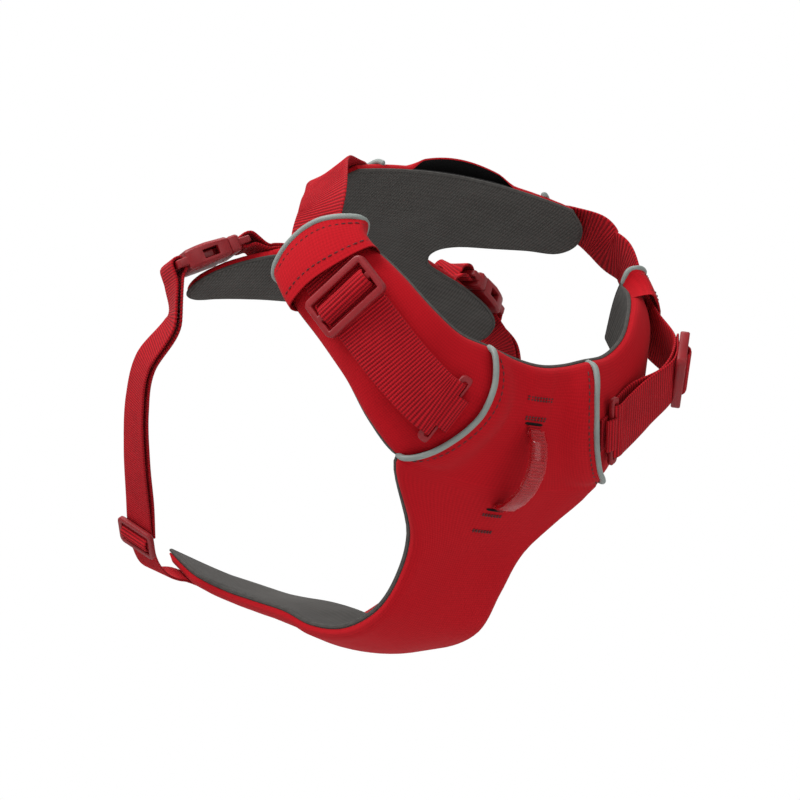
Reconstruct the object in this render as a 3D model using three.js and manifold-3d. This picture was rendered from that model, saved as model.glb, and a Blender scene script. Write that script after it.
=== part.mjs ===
// A padded dog harness in the shape it has when worn: back panel, Y-shaped chest and belly
// panel, neck straps with three-bar sliders, and a girth strap with a side-release buckle
// on each side. Millimetres. +X is the dog's forward direction, +Y the dog's left, +Z up.
// Stations are measured from the middle of the worn harness; at the end the whole group is
// lowered so that the origin lies at the withers, where the back padding rests on the dog.
import * as THREE from 'three';
import { mergeVertices } from 'three/addons/utils/BufferGeometryUtils.js';
import Module from 'manifold-3d';

const wasm = await Module();
wasm.setup();

const WITHERS = 90;            // height of the dog's back above the middle of the harness
const GAP = 0.3;               // air left between pieces that touch

const LINING = 1.0;            // grey spacer mesh against the dog
const FOAM = 3.7;
const SHELL = 1.0;             // red outer fabric
const FOAM_LOW = LINING + GAP;
const SHELL_LOW = FOAM_LOW + FOAM + GAP;
const ON_SHELL = SHELL_LOW + SHELL + GAP;

const WEB = 1.4;               // webbing thickness
const NECK_WEB = 30;           // neck webbing width
const GIRTH_WEB = 20;          // girth webbing width
const PIPING = 3.0;            // reflective piping diameter

const V = (x, y, z) => new THREE.Vector3(x, y, z);
const SIDES = [['right', -1], ['left', 1]];

const harness = new THREE.Group();

const FINISH = {
  shell: { color: 0xb81e28, roughness: 0.82, metalness: 0 },
  lining: { color: 0x4b4a49, roughness: 0.92, metalness: 0 },
  foam: { color: 0x3a3a3a, roughness: 0.95, metalness: 0 },
  webbing: { color: 0xc01c2a, roughness: 0.7, metalness: 0 },
  plastic: { color: 0xa81c26, roughness: 0.42, metalness: 0 },
  piping: { color: 0x8c9690, roughness: 0.45, metalness: 0 },
  sleeve: { color: 0xd8484c, roughness: 0.12, metalness: 0 },
  alloy: { color: 0xa9abae, roughness: 0.35, metalness: 1 },
};

function add(name, geometry, finish) {
  const mesh = new THREE.Mesh(geometry, new THREE.MeshStandardMaterial(FINISH[finish]));
  mesh.name = name;
  harness.add(mesh);
  return mesh;
}

// ---------- curves, surfaces and sheets of one thickness ----------

const mirror = (p) => V(p.x, -p.y, p.z);
const through = (points) => new THREE.CatmullRomCurve3(points);

// A surface is a list of points and of four-cornered cells. Rows run side by side.
function gridOf(rows) {
  const width = rows[0].length;
  const cells = [];
  for (let j = 1; j < rows.length; j += 1) {
    for (let i = 1; i < width; i += 1) {
      cells.push([(j - 1) * width + i - 1, (j - 1) * width + i, j * width + i, j * width + i - 1]);
    }
  }
  return { points: rows.flat(), cells };
}

function pointNormals({ points, cells }) {
  const normals = points.map(() => V(0, 0, 0));
  for (const [a, b, c, d] of cells) {
    const diagonal = points[c].clone().sub(points[a]);
    const other = points[d].clone().sub(points[b]);
    const normal = diagonal.cross(other);
    [a, b, c, d].forEach((i) => normals[i].add(normal));
  }
  return normals.map((normal) => normal.normalize());
}

// The points of a surface, each moved out along its normal by its own height.
function lifted(surface, heightOf) {
  const normals = pointNormals(surface);
  const points = surface.points.map((p, i) => p.clone().addScaledVector(normals[i], heightOf(i)));
  return { points, cells: surface.cells };
}

// The cells of a surface that pass a test, with their points renumbered.
function portion(surface, keep) {
  const numbers = new Map();
  const points = [];
  const cells = surface.cells.filter(keep).map((cell) => cell.map((i) => {
    if (!numbers.has(i)) {
      numbers.set(i, points.length);
      points.push(surface.points[i]);
    }
    return numbers.get(i);
  }));
  return { points, cells };
}

// A closed solid between two heights above a surface, with walls round its rim.
function slab(surface, low, high) {
  const normals = pointNormals(surface);
  const count = surface.points.length;
  const vertices = [];
  for (const height of [low, high]) {
    surface.points.forEach((p, i) => {
      const q = p.clone().addScaledVector(normals[i], height);
      vertices.push(q.x, q.y, q.z);
    });
  }
  const faces = [];
  const edges = new Map();
  for (const [a, b, c, d] of surface.cells) {
    faces.push(a + count, b + count, c + count, a + count, c + count, d + count);
    faces.push(a, c, b, a, d, c);
    for (const [p, q] of [[a, b], [b, c], [c, d], [d, a]]) {
      if (edges.has(`${q} ${p}`)) edges.delete(`${q} ${p}`);
      else edges.set(`${p} ${q}`, [p, q]);
    }
  }
  for (const [p, q] of edges.values()) {
    faces.push(p, q, q + count, p, q + count, p + count);
  }
  const geometry = new THREE.BufferGeometry();
  geometry.setAttribute('position', new THREE.Float32BufferAttribute(vertices, 3));
  geometry.setIndex(faces);
  return geometry;
}

// A flat strap: its centre line, the direction of its width at each station, its width, and
// the number of cells between two stations.
function strap(centres, acrosses, width, cells = 3) {
  const steps = cells * (centres.length - 1);
  const line = through(centres);
  const turn = through(acrosses);
  const edges = [[], []];
  for (let i = 0; i <= steps; i += 1) {
    const centre = line.getPoint(i / steps);
    const across = turn.getPoint(i / steps).normalize();
    edges[0].push(centre.clone().addScaledVector(across, width / 2));
    edges[1].push(centre.clone().addScaledVector(across, -width / 2));
  }
  return slab(gridOf(edges), -WEB / 2, WEB / 2);
}

// A smooth patch through rows of control points, with the frame at any place on it.
function patch(rows) {
  const lines = rows.map(through);
  const at = (u, v) => through(lines.map((line) => line.getPoint(u))).getPoint(v);
  const frame = (u, v, height = 0) => {
    const reach = 0.01;
    const along = at(Math.min(u + reach, 1), v).sub(at(Math.max(u - reach, 0), v)).normalize();
    const slant = at(u, Math.min(v + reach, 1)).sub(at(u, Math.max(v - reach, 0)));
    const normal = along.clone().cross(slant).normalize();
    const across = normal.clone().cross(along).normalize();
    return { point: at(u, v).addScaledVector(normal, height), along, across, normal };
  };
  return { at, frame };
}

function sampleRows(surfacePatch, along, across) {
  const rows = [];
  for (let j = 0; j <= across; j += 1) {
    const row = [];
    for (let i = 0; i <= along; i += 1) row.push(surfacePatch.at(i / along, j / across));
    rows.push(row);
  }
  return rows;
}

// A round cord along a line of points.
function cord(points, diameter, steps, sides = 6) {
  const outline = new THREE.Shape();
  outline.absarc(0, 0, diameter / 2, 0, 2 * Math.PI, false);
  return new THREE.ExtrudeGeometry(outline, {
    extrudePath: through(points), steps, curveSegments: sides / 2,
  });
}

// ---------- hard parts: plates, joins and cuts ----------

function solidOf(geometry) {
  const bare = geometry.clone();
  bare.deleteAttribute('normal');
  bare.deleteAttribute('uv');
  const merged = mergeVertices(bare, 1e-4);
  return new wasm.Manifold(new wasm.Mesh({
    numProp: 3,
    vertProperties: new Float32Array(merged.attributes.position.array),
    triVerts: new Uint32Array(merged.index.array),
  }));
}

function geometryOf(solid) {
  const mesh = solid.getMesh();
  const geometry = new THREE.BufferGeometry();
  geometry.setAttribute('position', new THREE.Float32BufferAttribute(mesh.vertProperties, 3));
  geometry.setIndex(Array.from(mesh.triVerts));
  return geometry;
}

function roundedOutline(width, length, radius) {
  const shape = new THREE.Shape();
  const x = width / 2 - radius;
  const y = length / 2 - radius;
  shape.absarc(x, y, radius, 0, Math.PI / 2, false);
  shape.absarc(-x, y, radius, Math.PI / 2, Math.PI, false);
  shape.absarc(-x, -y, radius, Math.PI, 1.5 * Math.PI, false);
  shape.absarc(x, -y, radius, 1.5 * Math.PI, 2 * Math.PI, false);
  return shape;
}

// A plate centred on z = 0, with its edges rounded by a small bevel.
function plate(outline, thickness, bevel = 0.6, curveSegments = 4) {
  const geometry = new THREE.ExtrudeGeometry(outline, {
    depth: thickness - 2 * bevel,
    bevelEnabled: true,
    bevelThickness: bevel,
    bevelSize: bevel,
    bevelOffset: -bevel,
    bevelSegments: 1,
    curveSegments,
  });
  return geometry.translate(0, 0, -thickness / 2 + bevel);
}

function box(low, high) {
  const size = high.clone().sub(low);
  const middle = high.clone().add(low).multiplyScalar(0.5);
  return new THREE.BoxGeometry(size.x, size.y, size.z).translate(middle.x, middle.y, middle.z);
}

// Puts a hard part in the harness: its own x, y, z run along the three given directions.
function place(mesh, origin, xAxis, yAxis, zAxis) {
  const matrix = new THREE.Matrix4().makeBasis(xAxis, yAxis, zAxis).setPosition(origin);
  mesh.applyMatrix4(matrix);
  return mesh;
}

// ---------- chest and belly panel ----------

// Half of the collar, from the middle of the chest round to the tip of one padded arm.
// Each station is a line across the pad, from the neck edge to the outer edge.
const COLLAR_HALF = [
  [V(117, 0, -2), V(110, 0, -20), V(99, 0, -38), V(86, 0, -55)],
  [V(116, 15, 0), V(111, 15, -20), V(98, 21, -38), V(85, 30, -52)],
  [V(115, 29, 4), V(112, 30, -21), V(98, 43, -38), V(83, 59, -46)],
  [V(113, 44, 9), V(105, 55, -7), V(94, 66, -20), V(80, 73, -30)],
  [V(110, 58, 20), V(102, 70, 8), V(90, 80, -2), V(76, 83, -10)],
  [V(102, 70, 36), V(95, 82, 28), V(81, 90, 20), V(66, 92, 10)],
  [V(93, 78, 48), V(85, 89, 43), V(71, 96, 36), V(56, 99, 26)],
  [V(85, 82, 54), V(76, 89, 61), V(61, 96, 55), V(47, 101, 38)],
];
const COLLAR = [...COLLAR_HALF.slice(1).reverse(), ...COLLAR_HALF.map((line) => line.map(mirror))];
const STATIONS = COLLAR.length - 1;
const COLLAR_ALONG = 28;
const COLLAR_ACROSS = 6;
const COVER_STATION = 2;       // the station where the cover over the chest ends, each side

// The belly panel runs down and back from the collar. Each line goes from edge to edge.
const BELLY = [
  [V(58, -36, -80), V(54, 0, -83), V(56, 36, -81)],
  [V(42, -31, -98), V(38, 0, -102), V(40, 33, -100)],
  [V(24, -30, -112), V(21, 0, -118), V(23, 33, -117)],
  [V(-6, -30, -119), V(-8, 0, -125), V(-5, 32, -121)],
  [V(-36, -31, -115), V(-37, 0, -121), V(-36, 31, -115)],
  [V(-58, -33, -106), V(-60, 0, -114), V(-62, 33, -109)],
  [V(-86, -35, -98), V(-88, 0, -104), V(-90, 34, -100)],
  [V(-114, -36, -90), V(-116, 0, -97), V(-118, 35, -93)],
  [V(-146, -37, -78), V(-148, 0, -87), V(-150, 36, -87)],
  [V(-176, -35, -62), V(-179, 0, -72), V(-182, 35, -80)],
];
const BELLY_STEPS = 2;         // rows of cells between two lines

const collarPatch = patch([0, 1, 2, 3].map((row) => COLLAR.map((line) => line[row])));

function chestSurface() {
  const rows = sampleRows(collarPatch, COLLAR_ALONG, COLLAR_ACROSS);
  const surface = gridOf(rows);
  const perStation = COLLAR_ALONG / STATIONS;
  const first = (STATIONS / 2 - COVER_STATION) * perStation;
  const last = (STATIONS / 2 + COVER_STATION) * perStation;
  const columns = last - first;
  const edge = COLLAR_ACROSS * (COLLAR_ALONG + 1);
  const above = rows[COLLAR_ACROSS - 1];
  // one smooth line down the belly for each column, leaving the collar in its own direction
  const lines = [];
  for (let i = 0; i <= columns; i += 1) {
    const stations = BELLY.map((line) => through(line).getPoint(1 - i / columns));
    lines.push(through([above[first + i], rows[COLLAR_ACROSS][first + i], ...stations]));
  }
  const segments = BELLY.length + 1;
  const bellyRows = BELLY.length * BELLY_STEPS;
  let before = lines.map((_, i) => edge + first + i);
  for (let k = 1; k <= bellyRows; k += 1) {
    const row = lines.map((line) => {
      surface.points.push(line.getPoint((1 + k / BELLY_STEPS) / segments));
      return surface.points.length - 1;
    });
    for (let i = 1; i <= columns; i += 1) {
      surface.cells.push([before[i - 1], before[i], row[i], row[i - 1]]);
    }
    before = row;
  }
  return { surface, first, last };
}

const chest = chestSurface();
const collarCells = COLLAR_ALONG * COLLAR_ACROSS;
const columnOf = (cellIndex) => cellIndex % COLLAR_ALONG;

add('chest_panel_lining', slab(chest.surface, 0, LINING), 'lining');
add('chest_panel_foam', slab(chest.surface, FOAM_LOW, FOAM_LOW + FOAM), 'foam');

// The outer fabric of an arm ends at the cover; the cover goes on over the chest and belly.
const ARM_CELLS = {
  left: (_, i) => i < collarCells && columnOf(i) < chest.first,
  right: (_, i) => i < collarCells && columnOf(i) >= chest.last,
};
for (const [name] of SIDES) {
  const shell = portion(lifted(chest.surface, () => SHELL_LOW), ARM_CELLS[name]);
  add(`arm_shell_${name}`, slab(shell, 0, SHELL), 'shell');
}

// The cover stands off at its two piped edges, where the ring tabs run under it.
const COVER_RISE = 3.3;
const LEAST_RISE = 1.4;        // at the two ends of the seam, so that it clears the arm's fabric
const flatTop = (v) => Math.min(1, 2.2 * Math.sin(Math.PI * v));
const coverRise = (v) => Math.max(COVER_RISE * flatTop(v), LEAST_RISE);
const coverHeights = chest.surface.points.map((_, i) => {
  if (i >= (COLLAR_ALONG + 1) * (COLLAR_ACROSS + 1)) return SHELL_LOW;
  const column = i % (COLLAR_ALONG + 1);
  const fromEdge = Math.min(column - chest.first, chest.last - column);
  const row = Math.floor(i / (COLLAR_ALONG + 1)) / COLLAR_ACROSS;
  const share = THREE.MathUtils.clamp(2 - fromEdge / 2, 0, 1);
  return SHELL_LOW + share * coverRise(row);
});
const cover = portion(
  lifted(chest.surface, (i) => coverHeights[i]),
  (_, i) => i >= collarCells || (columnOf(i) >= chest.first && columnOf(i) < chest.last),
);
add('chest_cover', slab(cover, 0, SHELL), 'shell');

// A place on an arm: its station from the middle of the chest, and how far across from the neck.
const onArm = (side, station, v, height) => {
  const place = collarPatch.frame(0.5 - (side * station) / STATIONS, v, height);
  place.toTip = place.along.clone().multiplyScalar(-side);
  return place;
};

for (const [name, side] of SIDES) {
  // reflective piping along the cover's edge, just clear of it
  const run = [0.02, 0.15, 0.3, 0.45, 0.6, 0.75, 0.9, 0.98].map((v) => {
    const edge = onArm(side, COVER_STATION, v, ON_SHELL + PIPING / 2 + coverRise(v));
    return edge.point.addScaledVector(edge.toTip, PIPING / 2 + GAP);
  });
  add(`chest_piping_${name}`, cord(run, PIPING, 12), 'piping');
}

// The tip cover: a fabric pocket over the end of each arm, which the neck strap runs into.
const TIP_RISE = 5.95;
const TIP_STATION = 7;
const TIP_COVER_END = 5.85;
for (const [name, side] of SIDES) {
  const rows = [];
  const across = 8;
  for (let j = 0; j <= across; j += 1) {
    const v = 0.02 + (0.96 * j) / across;
    const row = [];
    for (let i = 0; i <= 4; i += 1) {
      const station = THREE.MathUtils.lerp(TIP_STATION, TIP_COVER_END, i / 4);
      row.push(onArm(side, station, v, ON_SHELL + TIP_RISE * flatTop(v)).point);
    }
    if (side > 0) row.reverse();
    rows.push(row);
  }
  rows.reverse();
  add(`arm_tip_cover_${name}`, slab(gridOf(rows), 0, SHELL), 'shell');
  const run = [0.06, 0.15, 0.3, 0.5, 0.7, 0.85, 0.96].map((v) => {
    const edge = onArm(side, TIP_STATION, v, ON_SHELL + SHELL + TIP_RISE * flatTop(v));
    return edge.point.addScaledVector(edge.toTip, PIPING / 2 + 2 * GAP);
  });
  add(`arm_tip_piping_${name}`, cord(run, PIPING, 10), 'piping');
}

// ---------- back panel ----------

// Ribs from front to rear: the height over the spine, where the rib ends on the right, and
// where it ends on the left. The left rear wing hangs a little further forward.
const BACK_RIBS = [
  [V(58, 0, 106), V(59, -66, 99), V(60, 69, 99)],
  [V(50, 0, 104), V(51, -72, 95.5), V(51, 82, 93)],
  [V(42, 0, 101), V(38, -75, 92), V(38, 88, 88)],
  [V(34, 0, 98), V(27, -73, 89.5), V(27, 85, 86)],
  [V(26, 0, 95), V(20, -66, 88), V(20, 70, 87)],
  [V(18, 0, 93), V(13, -52, 87), V(13, 52, 87)],
  [V(9, 0, 91.5), V(5, -34, 87), V(5, 34, 87)],
  [V(0, 0, 90), V(-3, -27, 86), V(-3, 27, 86)],
  [V(-10, 0, 87), V(-12, -26, 84), V(-11, 26, 84)],
  [V(-20, 0, 84), V(-21, -30, 81), V(-19, 31, 81)],
  [V(-28, 0, 81), V(-29, -44, 78), V(-26, 47, 78)],
  [V(-36, 0, 78), V(-36, -63, 74), V(-32, 67, 74)],
  [V(-44, 0, 75), V(-44, -82, 67), V(-38, 87, 66)],
  [V(-52, 0, 72), V(-54, -91, 61), V(-47, 97, 60)],
  [V(-60, 0, 70), V(-65, -91, 57), V(-58, 97, 55)],
  [V(-68, 0, 67), V(-73, -82, 57), V(-68, 88, 55)],
  [V(-75, 0, 65), V(-76, -66, 60), V(-74, 69, 59)],
];
const BACK_ACROSS = 12;
const ribPoint = ([spine, right, left], t) => {
  const end = t < 0 ? right : left;
  return V(
    THREE.MathUtils.lerp(spine.x, end.x, t * t),
    end.y * Math.abs(t),
    THREE.MathUtils.lerp(spine.z, end.z, t * t),
  );
};
const RIB_PLACES = [-1, -0.5, 0, 0.5, 1];
const backPatch = patch(RIB_PLACES.map((t) => BACK_RIBS.map((rib) => ribPoint(rib, t))));
// on the back, u runs from the neck edge to the rear and v from the dog's right to its left
const backRows = [];
for (let j = 0; j < BACK_RIBS.length; j += 1) {
  const row = [];
  for (let i = 0; i <= BACK_ACROSS; i += 1) row.push(ribPoint(BACK_RIBS[j], (2 * i) / BACK_ACROSS - 1));
  backRows.push(row);
}
const backSurface = gridOf(backRows);

add('back_panel_lining', slab(backSurface, 0, LINING), 'lining');
add('back_panel_foam', slab(backSurface, FOAM_LOW, FOAM_LOW + FOAM), 'foam');

// The shell lifts off the foam in the middle of the neck edge: the mouth of the pocket.
const POCKET_DEPTH = 4;        // ribs back from the neck edge
const POCKET_HALF = 34;
const POCKET_LIFT = 6;
const pocketLift = (y, rib) => {
  const inward = THREE.MathUtils.clamp(1 - rib / POCKET_DEPTH, 0, 1);
  const sideways = THREE.MathUtils.clamp(1 - Math.abs(y) / POCKET_HALF, 0, 1);
  return POCKET_LIFT * Math.sqrt(inward) * Math.sin((Math.PI / 2) * sideways);
};
const backShell = lifted(backSurface, (i) => {
  const p = backSurface.points[i];
  return SHELL_LOW + pocketLift(p.y, Math.floor(i / (BACK_ACROSS + 1)));
});
add('back_panel_shell', slab(backShell, 0, SHELL), 'shell');

const onBack = (u, v, height) => {
  const at = backPatch.frame(u, v, 0);
  const up = at.normal.z < 0 ? at.normal.multiplyScalar(-1) : at.normal;
  const toRear = at.along;
  const toLeft = up.clone().cross(toRear).multiplyScalar(-1);
  return { point: at.point.addScaledVector(up, height), up, toRear, toLeft };
};

// A direction laid flat on the back at one place.
const flatOn = (p, way) => way.clone().addScaledVector(p.up, -way.dot(p.up)).normalize();

// reflective piping over the yoke wings, where the neck straps are sewn on
for (const [name, side] of SIDES) {
  const v = 0.5 + side * 0.37;
  const run = [0.012, 0.05, 0.1, 0.15, 0.2].map((u) => onBack(u, v, ON_SHELL + PIPING / 2 + GAP).point);
  add(`yoke_piping_${name}`, cord(run, PIPING, 6), 'piping');
}

// ---------- neck straps, their sliders and rings ----------

// One piece of webbing a side: sewn on the yoke, in at the arm tip, down the arm, round the
// ring at the chest and back up the arm to the slider.
const RING_STATION = 2.42;
const RING_V = 0.5;
const LAYER = WEB + 0.4;
const INNER = ON_SHELL + WEB / 2;
const RETURN = INNER + LAYER;
const RING_THICK = 2.6;
const FOLD = (RING_THICK + WEB) / 2 + 0.6;
const RING_HEIGHT = INNER + FOLD;
const RING_BAR = 2.6;
const RING_WINDOW = 4.4;
// where a strap is sewn on the yoke: how far back, how far out from the spine, how high
const YOKE_SEWN = {
  right: [[0.085, 0.42, 3.4], [0.085, 0.47, 4.3]],
  left: [[0.09, 0.42, 2.8], [0.09, 0.48, 2.8], [0.1, 0.5, 2.8]],
};
const NECK_RUN = {
  right: [V(52, -80, 98.5), V(60, -87.5, 90), V(69, -95, 77)],
  left: [V(52.5, 92, 92), V(57, 97.5, 83.5), V(65, 100, 76)],
};
const NECK_RUN_ACROSS = {
  right: [V(0.96, 0.1, 0.25), V(0.94, 0.22, 0.24), V(0.9, 0.34, 0.24)],
  left: [V(0.96, -0.1, 0.25), V(0.94, -0.22, 0.24), V(0.9, -0.34, 0.24)],
};
// the left strap is slack and stands off the arm in a bow; the right one lies on it
const NECK_SLIDER = { width: 38, length: 23, thick: 3.4, bar: 3.5, station: { right: 5.1, left: 4.5 } };
const STRAP_BOW = { right: 0, left: 13 };
const bowAt = (name, station) => STRAP_BOW[name]
  * Math.sin(Math.PI * THREE.MathUtils.clamp((5.75 - station) / 2.6, 0, 1));
const armLine = (name, side, list) => list.map(([station, v, height]) => (
  onArm(side, station, v, height + bowAt(name, station))));
const widthOf = (place) => place.across.clone().multiplyScalar(-1);

function neckStrap(name, side) {
  const ring = onArm(side, RING_STATION, RING_V, RING_HEIGHT);
  const down = armLine(name, side, [[6.9, 0.5, 8.6], [6.3, 0.5, INNER + 0.3], [5.6, 0.5, INNER],
    [4.8, 0.5, INNER], [4, 0.5, INNER], [3.3, 0.5, INNER]]);
  const barCentre = ring.point.clone().addScaledVector(ring.toTip, (RING_WINDOW + RING_BAR) / 2);
  const turn = RING_BAR / 2 + WEB / 2 + 0.5;
  const fold = [[6, -FOLD], [0.4, -FOLD], [-0.8 * turn, -0.72 * FOLD], [-turn - 0.2, 0],
    [-0.8 * turn, 0.72 * FOLD], [0.4, FOLD], [6, FOLD - 0.3]];
  const foldPoints = fold.map(([along, height]) => barCentre.clone()
    .addScaledVector(ring.toTip, along).addScaledVector(ring.normal, height));
  const top = NECK_SLIDER.station[name] + 0.36;
  const back = armLine(name, side, [[3.5, 0.5, RETURN + 0.5], [(3.5 + top) / 2, 0.5, RETURN],
    [top - 0.4, 0.5, RETURN], [top, 0.5, RETURN]]);
  const sewn = YOKE_SEWN[name].map(([u, v, rise]) => onBack(u, 0.5 + side * v, ON_SHELL + rise));
  const centres = [...sewn.map((p) => p.point), ...NECK_RUN[name], ...down.map((p) => p.point),
    ...foldPoints, ...back.map((p) => p.point)];
  const acrosses = [...sewn.map((p) => flatOn(p, V(1, 0, 0))),
    ...NECK_RUN_ACROSS[name].map((d) => d.clone().normalize()),
    ...down.map(widthOf), ...fold.map(() => widthOf(ring)), ...back.map(widthOf)];
  add(`neck_strap_${name}`, strap(centres, acrosses, NECK_WEB), 'webbing');
  return ring;
}

// A three-bar slider lies flat with its middle bar along its own x.
function sliderPlate(width, length, thick, bar) {
  const shape = roundedOutline(width, length, 3.5);
  const windowLength = (length - 2 * (bar + 0.2) - bar) / 2;
  for (const end of [-1, 1]) {
    const hole = new THREE.Path();
    const low = end * (bar / 2 + windowLength / 2) - windowLength / 2;
    const half = width / 2 - 3;
    hole.moveTo(-half, low);
    hole.lineTo(-half, low + windowLength);
    hole.lineTo(half, low + windowLength);
    hole.lineTo(half, low);
    hole.closePath();
    shape.holes.push(hole);
  }
  return plate(shape, thick, 0.5, 3);
}

// The webbing that shows in a slider's windows, over the middle bar; x is its width.
function sliderWrap(width, bar, thick) {
  const top = thick / 2 + WEB / 2 + 0.5;
  const foot = bar / 2 + WEB / 2 + 1.6;
  const line = [[-foot - 0.5, -thick / 2 + 0.3], [-foot, 0.4], [-bar / 2 - 0.6, top - 0.5], [0, top],
    [bar / 2 + 0.6, top - 0.5], [foot, 0.4], [foot + 0.5, -thick / 2 + 0.3]];
  const centres = line.map(([y, z]) => V(0, y, z));
  return strap(centres, line.map(() => V(1, 0, 0)), width, 2);
}

const GIRTH_SLIDER = { width: 27, length: 18, thick: 3, bar: 2.8 };

for (const [name, side] of SIDES) {
  const ring = neckStrap(name, side);
  const ringShape = roundedOutline(NECK_WEB + 8, RING_WINDOW + 2 * RING_BAR, 2.6);
  ringShape.holes.push(roundedOutline(NECK_WEB + 1.6, RING_WINDOW, 0.6));
  const ringPlate = add(`chest_ring_${name}`, plate(ringShape, RING_THICK, 0.5, 2), 'plastic');
  const ringRight = ring.across.clone();
  place(ringPlate, ring.point, ringRight, ring.normal.clone().cross(ringRight), ring.normal);

  // the tab that holds the ring, folded round its far bar and sewn down under the cover
  const farBar = ring.point.clone().addScaledVector(ring.toTip, -(RING_WINDOW + RING_BAR) / 2);
  const turn = RING_BAR / 2 + WEB / 2 + 0.5;
  const fold = [[-6, -FOLD], [-0.4, -FOLD], [0.8 * turn, -0.72 * FOLD], [turn + 0.2, 0]];
  const tab = fold.map(([along, height]) => farBar.clone()
    .addScaledVector(ring.toTip, along).addScaledVector(ring.normal, height));
  add(`ring_tab_${name}`, strap(tab, fold.map(() => widthOf(ring)), 18), 'webbing');

  const station = NECK_SLIDER.station[name];
  const onStrap = RETURN + WEB / 2 + 0.9 + bowAt(name, station);
  const at = onArm(side, station, 0.5, onStrap + NECK_SLIDER.thick / 2);
  const xAxis = at.across;
  const yAxis = at.normal.clone().cross(xAxis);
  const frame = sliderPlate(NECK_SLIDER.width, NECK_SLIDER.length, NECK_SLIDER.thick, NECK_SLIDER.bar);
  place(add(`neck_slider_${name}`, frame, 'plastic'), at.point, xAxis, yAxis, at.normal);
  const wrap = sliderWrap(NECK_WEB - 0.4, NECK_SLIDER.bar, NECK_SLIDER.thick);
  place(add(`neck_slider_wrap_${name}`, wrap, 'webbing'), at.point, xAxis, yAxis, at.normal);
}

// ---------- side-release buckles ----------

// A buckle's own x runs from the wing out along the buckle, y across it, z away from the dog.
const BUCKLE = {
  right: { from: V(-47.7, -68.7, 85), to: V(-55.9, -107.9, 66.5), out: V(-0.1, -0.4, 0.9) },
  left: { from: V(-39, 65, 86.3), to: V(-58.5, 100, 72.7), out: V(-0.05, 0.35, 0.95) },
};
// where the tab that holds the male clip is sewn to the back panel: a place on the back
const TAB_SEWN = { right: [0.74, 0.2], left: [0.72, 0.79] };
const BUCKLE_HALF = 14;
const SLOT_HALF = GIRTH_WEB / 2 + 0.5;
const SEAM = 13;               // where the two halves meet
const CAVITY_END = 32;
const BUCKLE_END = 44;
const PRONG_ROOT = SEAM + 0.8;
const PRONG_TIP = 30;

// A block centred on z = 0, for bars, slots and hollows.
function bar(x0, x1, y0, y1, thick) {
  return box(V(x0, y0, -thick / 2), V(x1, y1, thick / 2));
}

function maleClip() {
  const body = new THREE.Shape();
  body.moveTo(6.4, -BUCKLE_HALF + 2);
  body.lineTo(8, -BUCKLE_HALF);
  body.lineTo(SEAM, -BUCKLE_HALF);
  body.lineTo(SEAM, BUCKLE_HALF);
  body.lineTo(8, BUCKLE_HALF);
  body.lineTo(6.4, BUCKLE_HALF - 2);
  body.closePath();
  const rails = roundedOutline(9, 2 * BUCKLE_HALF - 2, 1.6);
  const railPlate = plate(rails, 3.6, 0.5, 2).translate(4.5, 0, 0);
  const slot = bar(2.6, 6.2, -SLOT_HALF, SLOT_HALF, 9);
  const tongue = bar(SEAM - 1, PRONG_TIP - 2, -2.2, 2.2, 3.6);
  return geometryOf(solidOf(plate(body, 9, 1, 2))
    .add(solidOf(railPlate)).add(solidOf(tongue)).subtract(solidOf(slot)));
}

function femaleSocket() {
  const body = new THREE.Shape();
  body.moveTo(SEAM + GAP, -BUCKLE_HALF);
  body.lineTo(26, -BUCKLE_HALF - 0.6);
  body.quadraticCurveTo(36, -BUCKLE_HALF, 38, -BUCKLE_HALF + 1.5);
  body.lineTo(38, BUCKLE_HALF - 1.5);
  body.quadraticCurveTo(36, BUCKLE_HALF, 26, BUCKLE_HALF + 0.6);
  body.lineTo(SEAM + GAP, BUCKLE_HALF);
  body.closePath();
  const cavity = bar(SEAM - 1, CAVITY_END, -11, 11, 4.8);
  const windows = bar(20, 29, -20, 20, 4.8);
  const rails = plate(roundedOutline(12, 2 * BUCKLE_HALF - 3, 2), 4.4, 0.5, 2)
    .translate(BUCKLE_END - 6, 0, 0);
  const slot = bar(36.5, 41, -SLOT_HALF, SLOT_HALF, 12);
  return geometryOf(solidOf(plate(body, 10, 1.2, 3)).add(solidOf(rails))
    .subtract(solidOf(cavity)).subtract(solidOf(windows)).subtract(solidOf(slot)));
}

// One spring arm: a straight finger with an ear on its outer side near the tip.
function prong(hand) {
  const shape = new THREE.Shape();
  const outline = [[PRONG_ROOT, 7], [PRONG_TIP - 2, 6.4], [PRONG_TIP, 8], [PRONG_TIP - 1, 10.2],
    [22, 10.4], [21, 9.2], [PRONG_ROOT, 9.6]];
  const drawn = hand > 0 ? outline : outline.map(([x, y]) => [x, -y]).reverse();
  drawn.forEach(([x, y], i) => (i === 0 ? shape.moveTo(x, y) : shape.lineTo(x, y)));
  shape.closePath();
  return plate(shape, 3.8, 0.3, 1);
}

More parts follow.
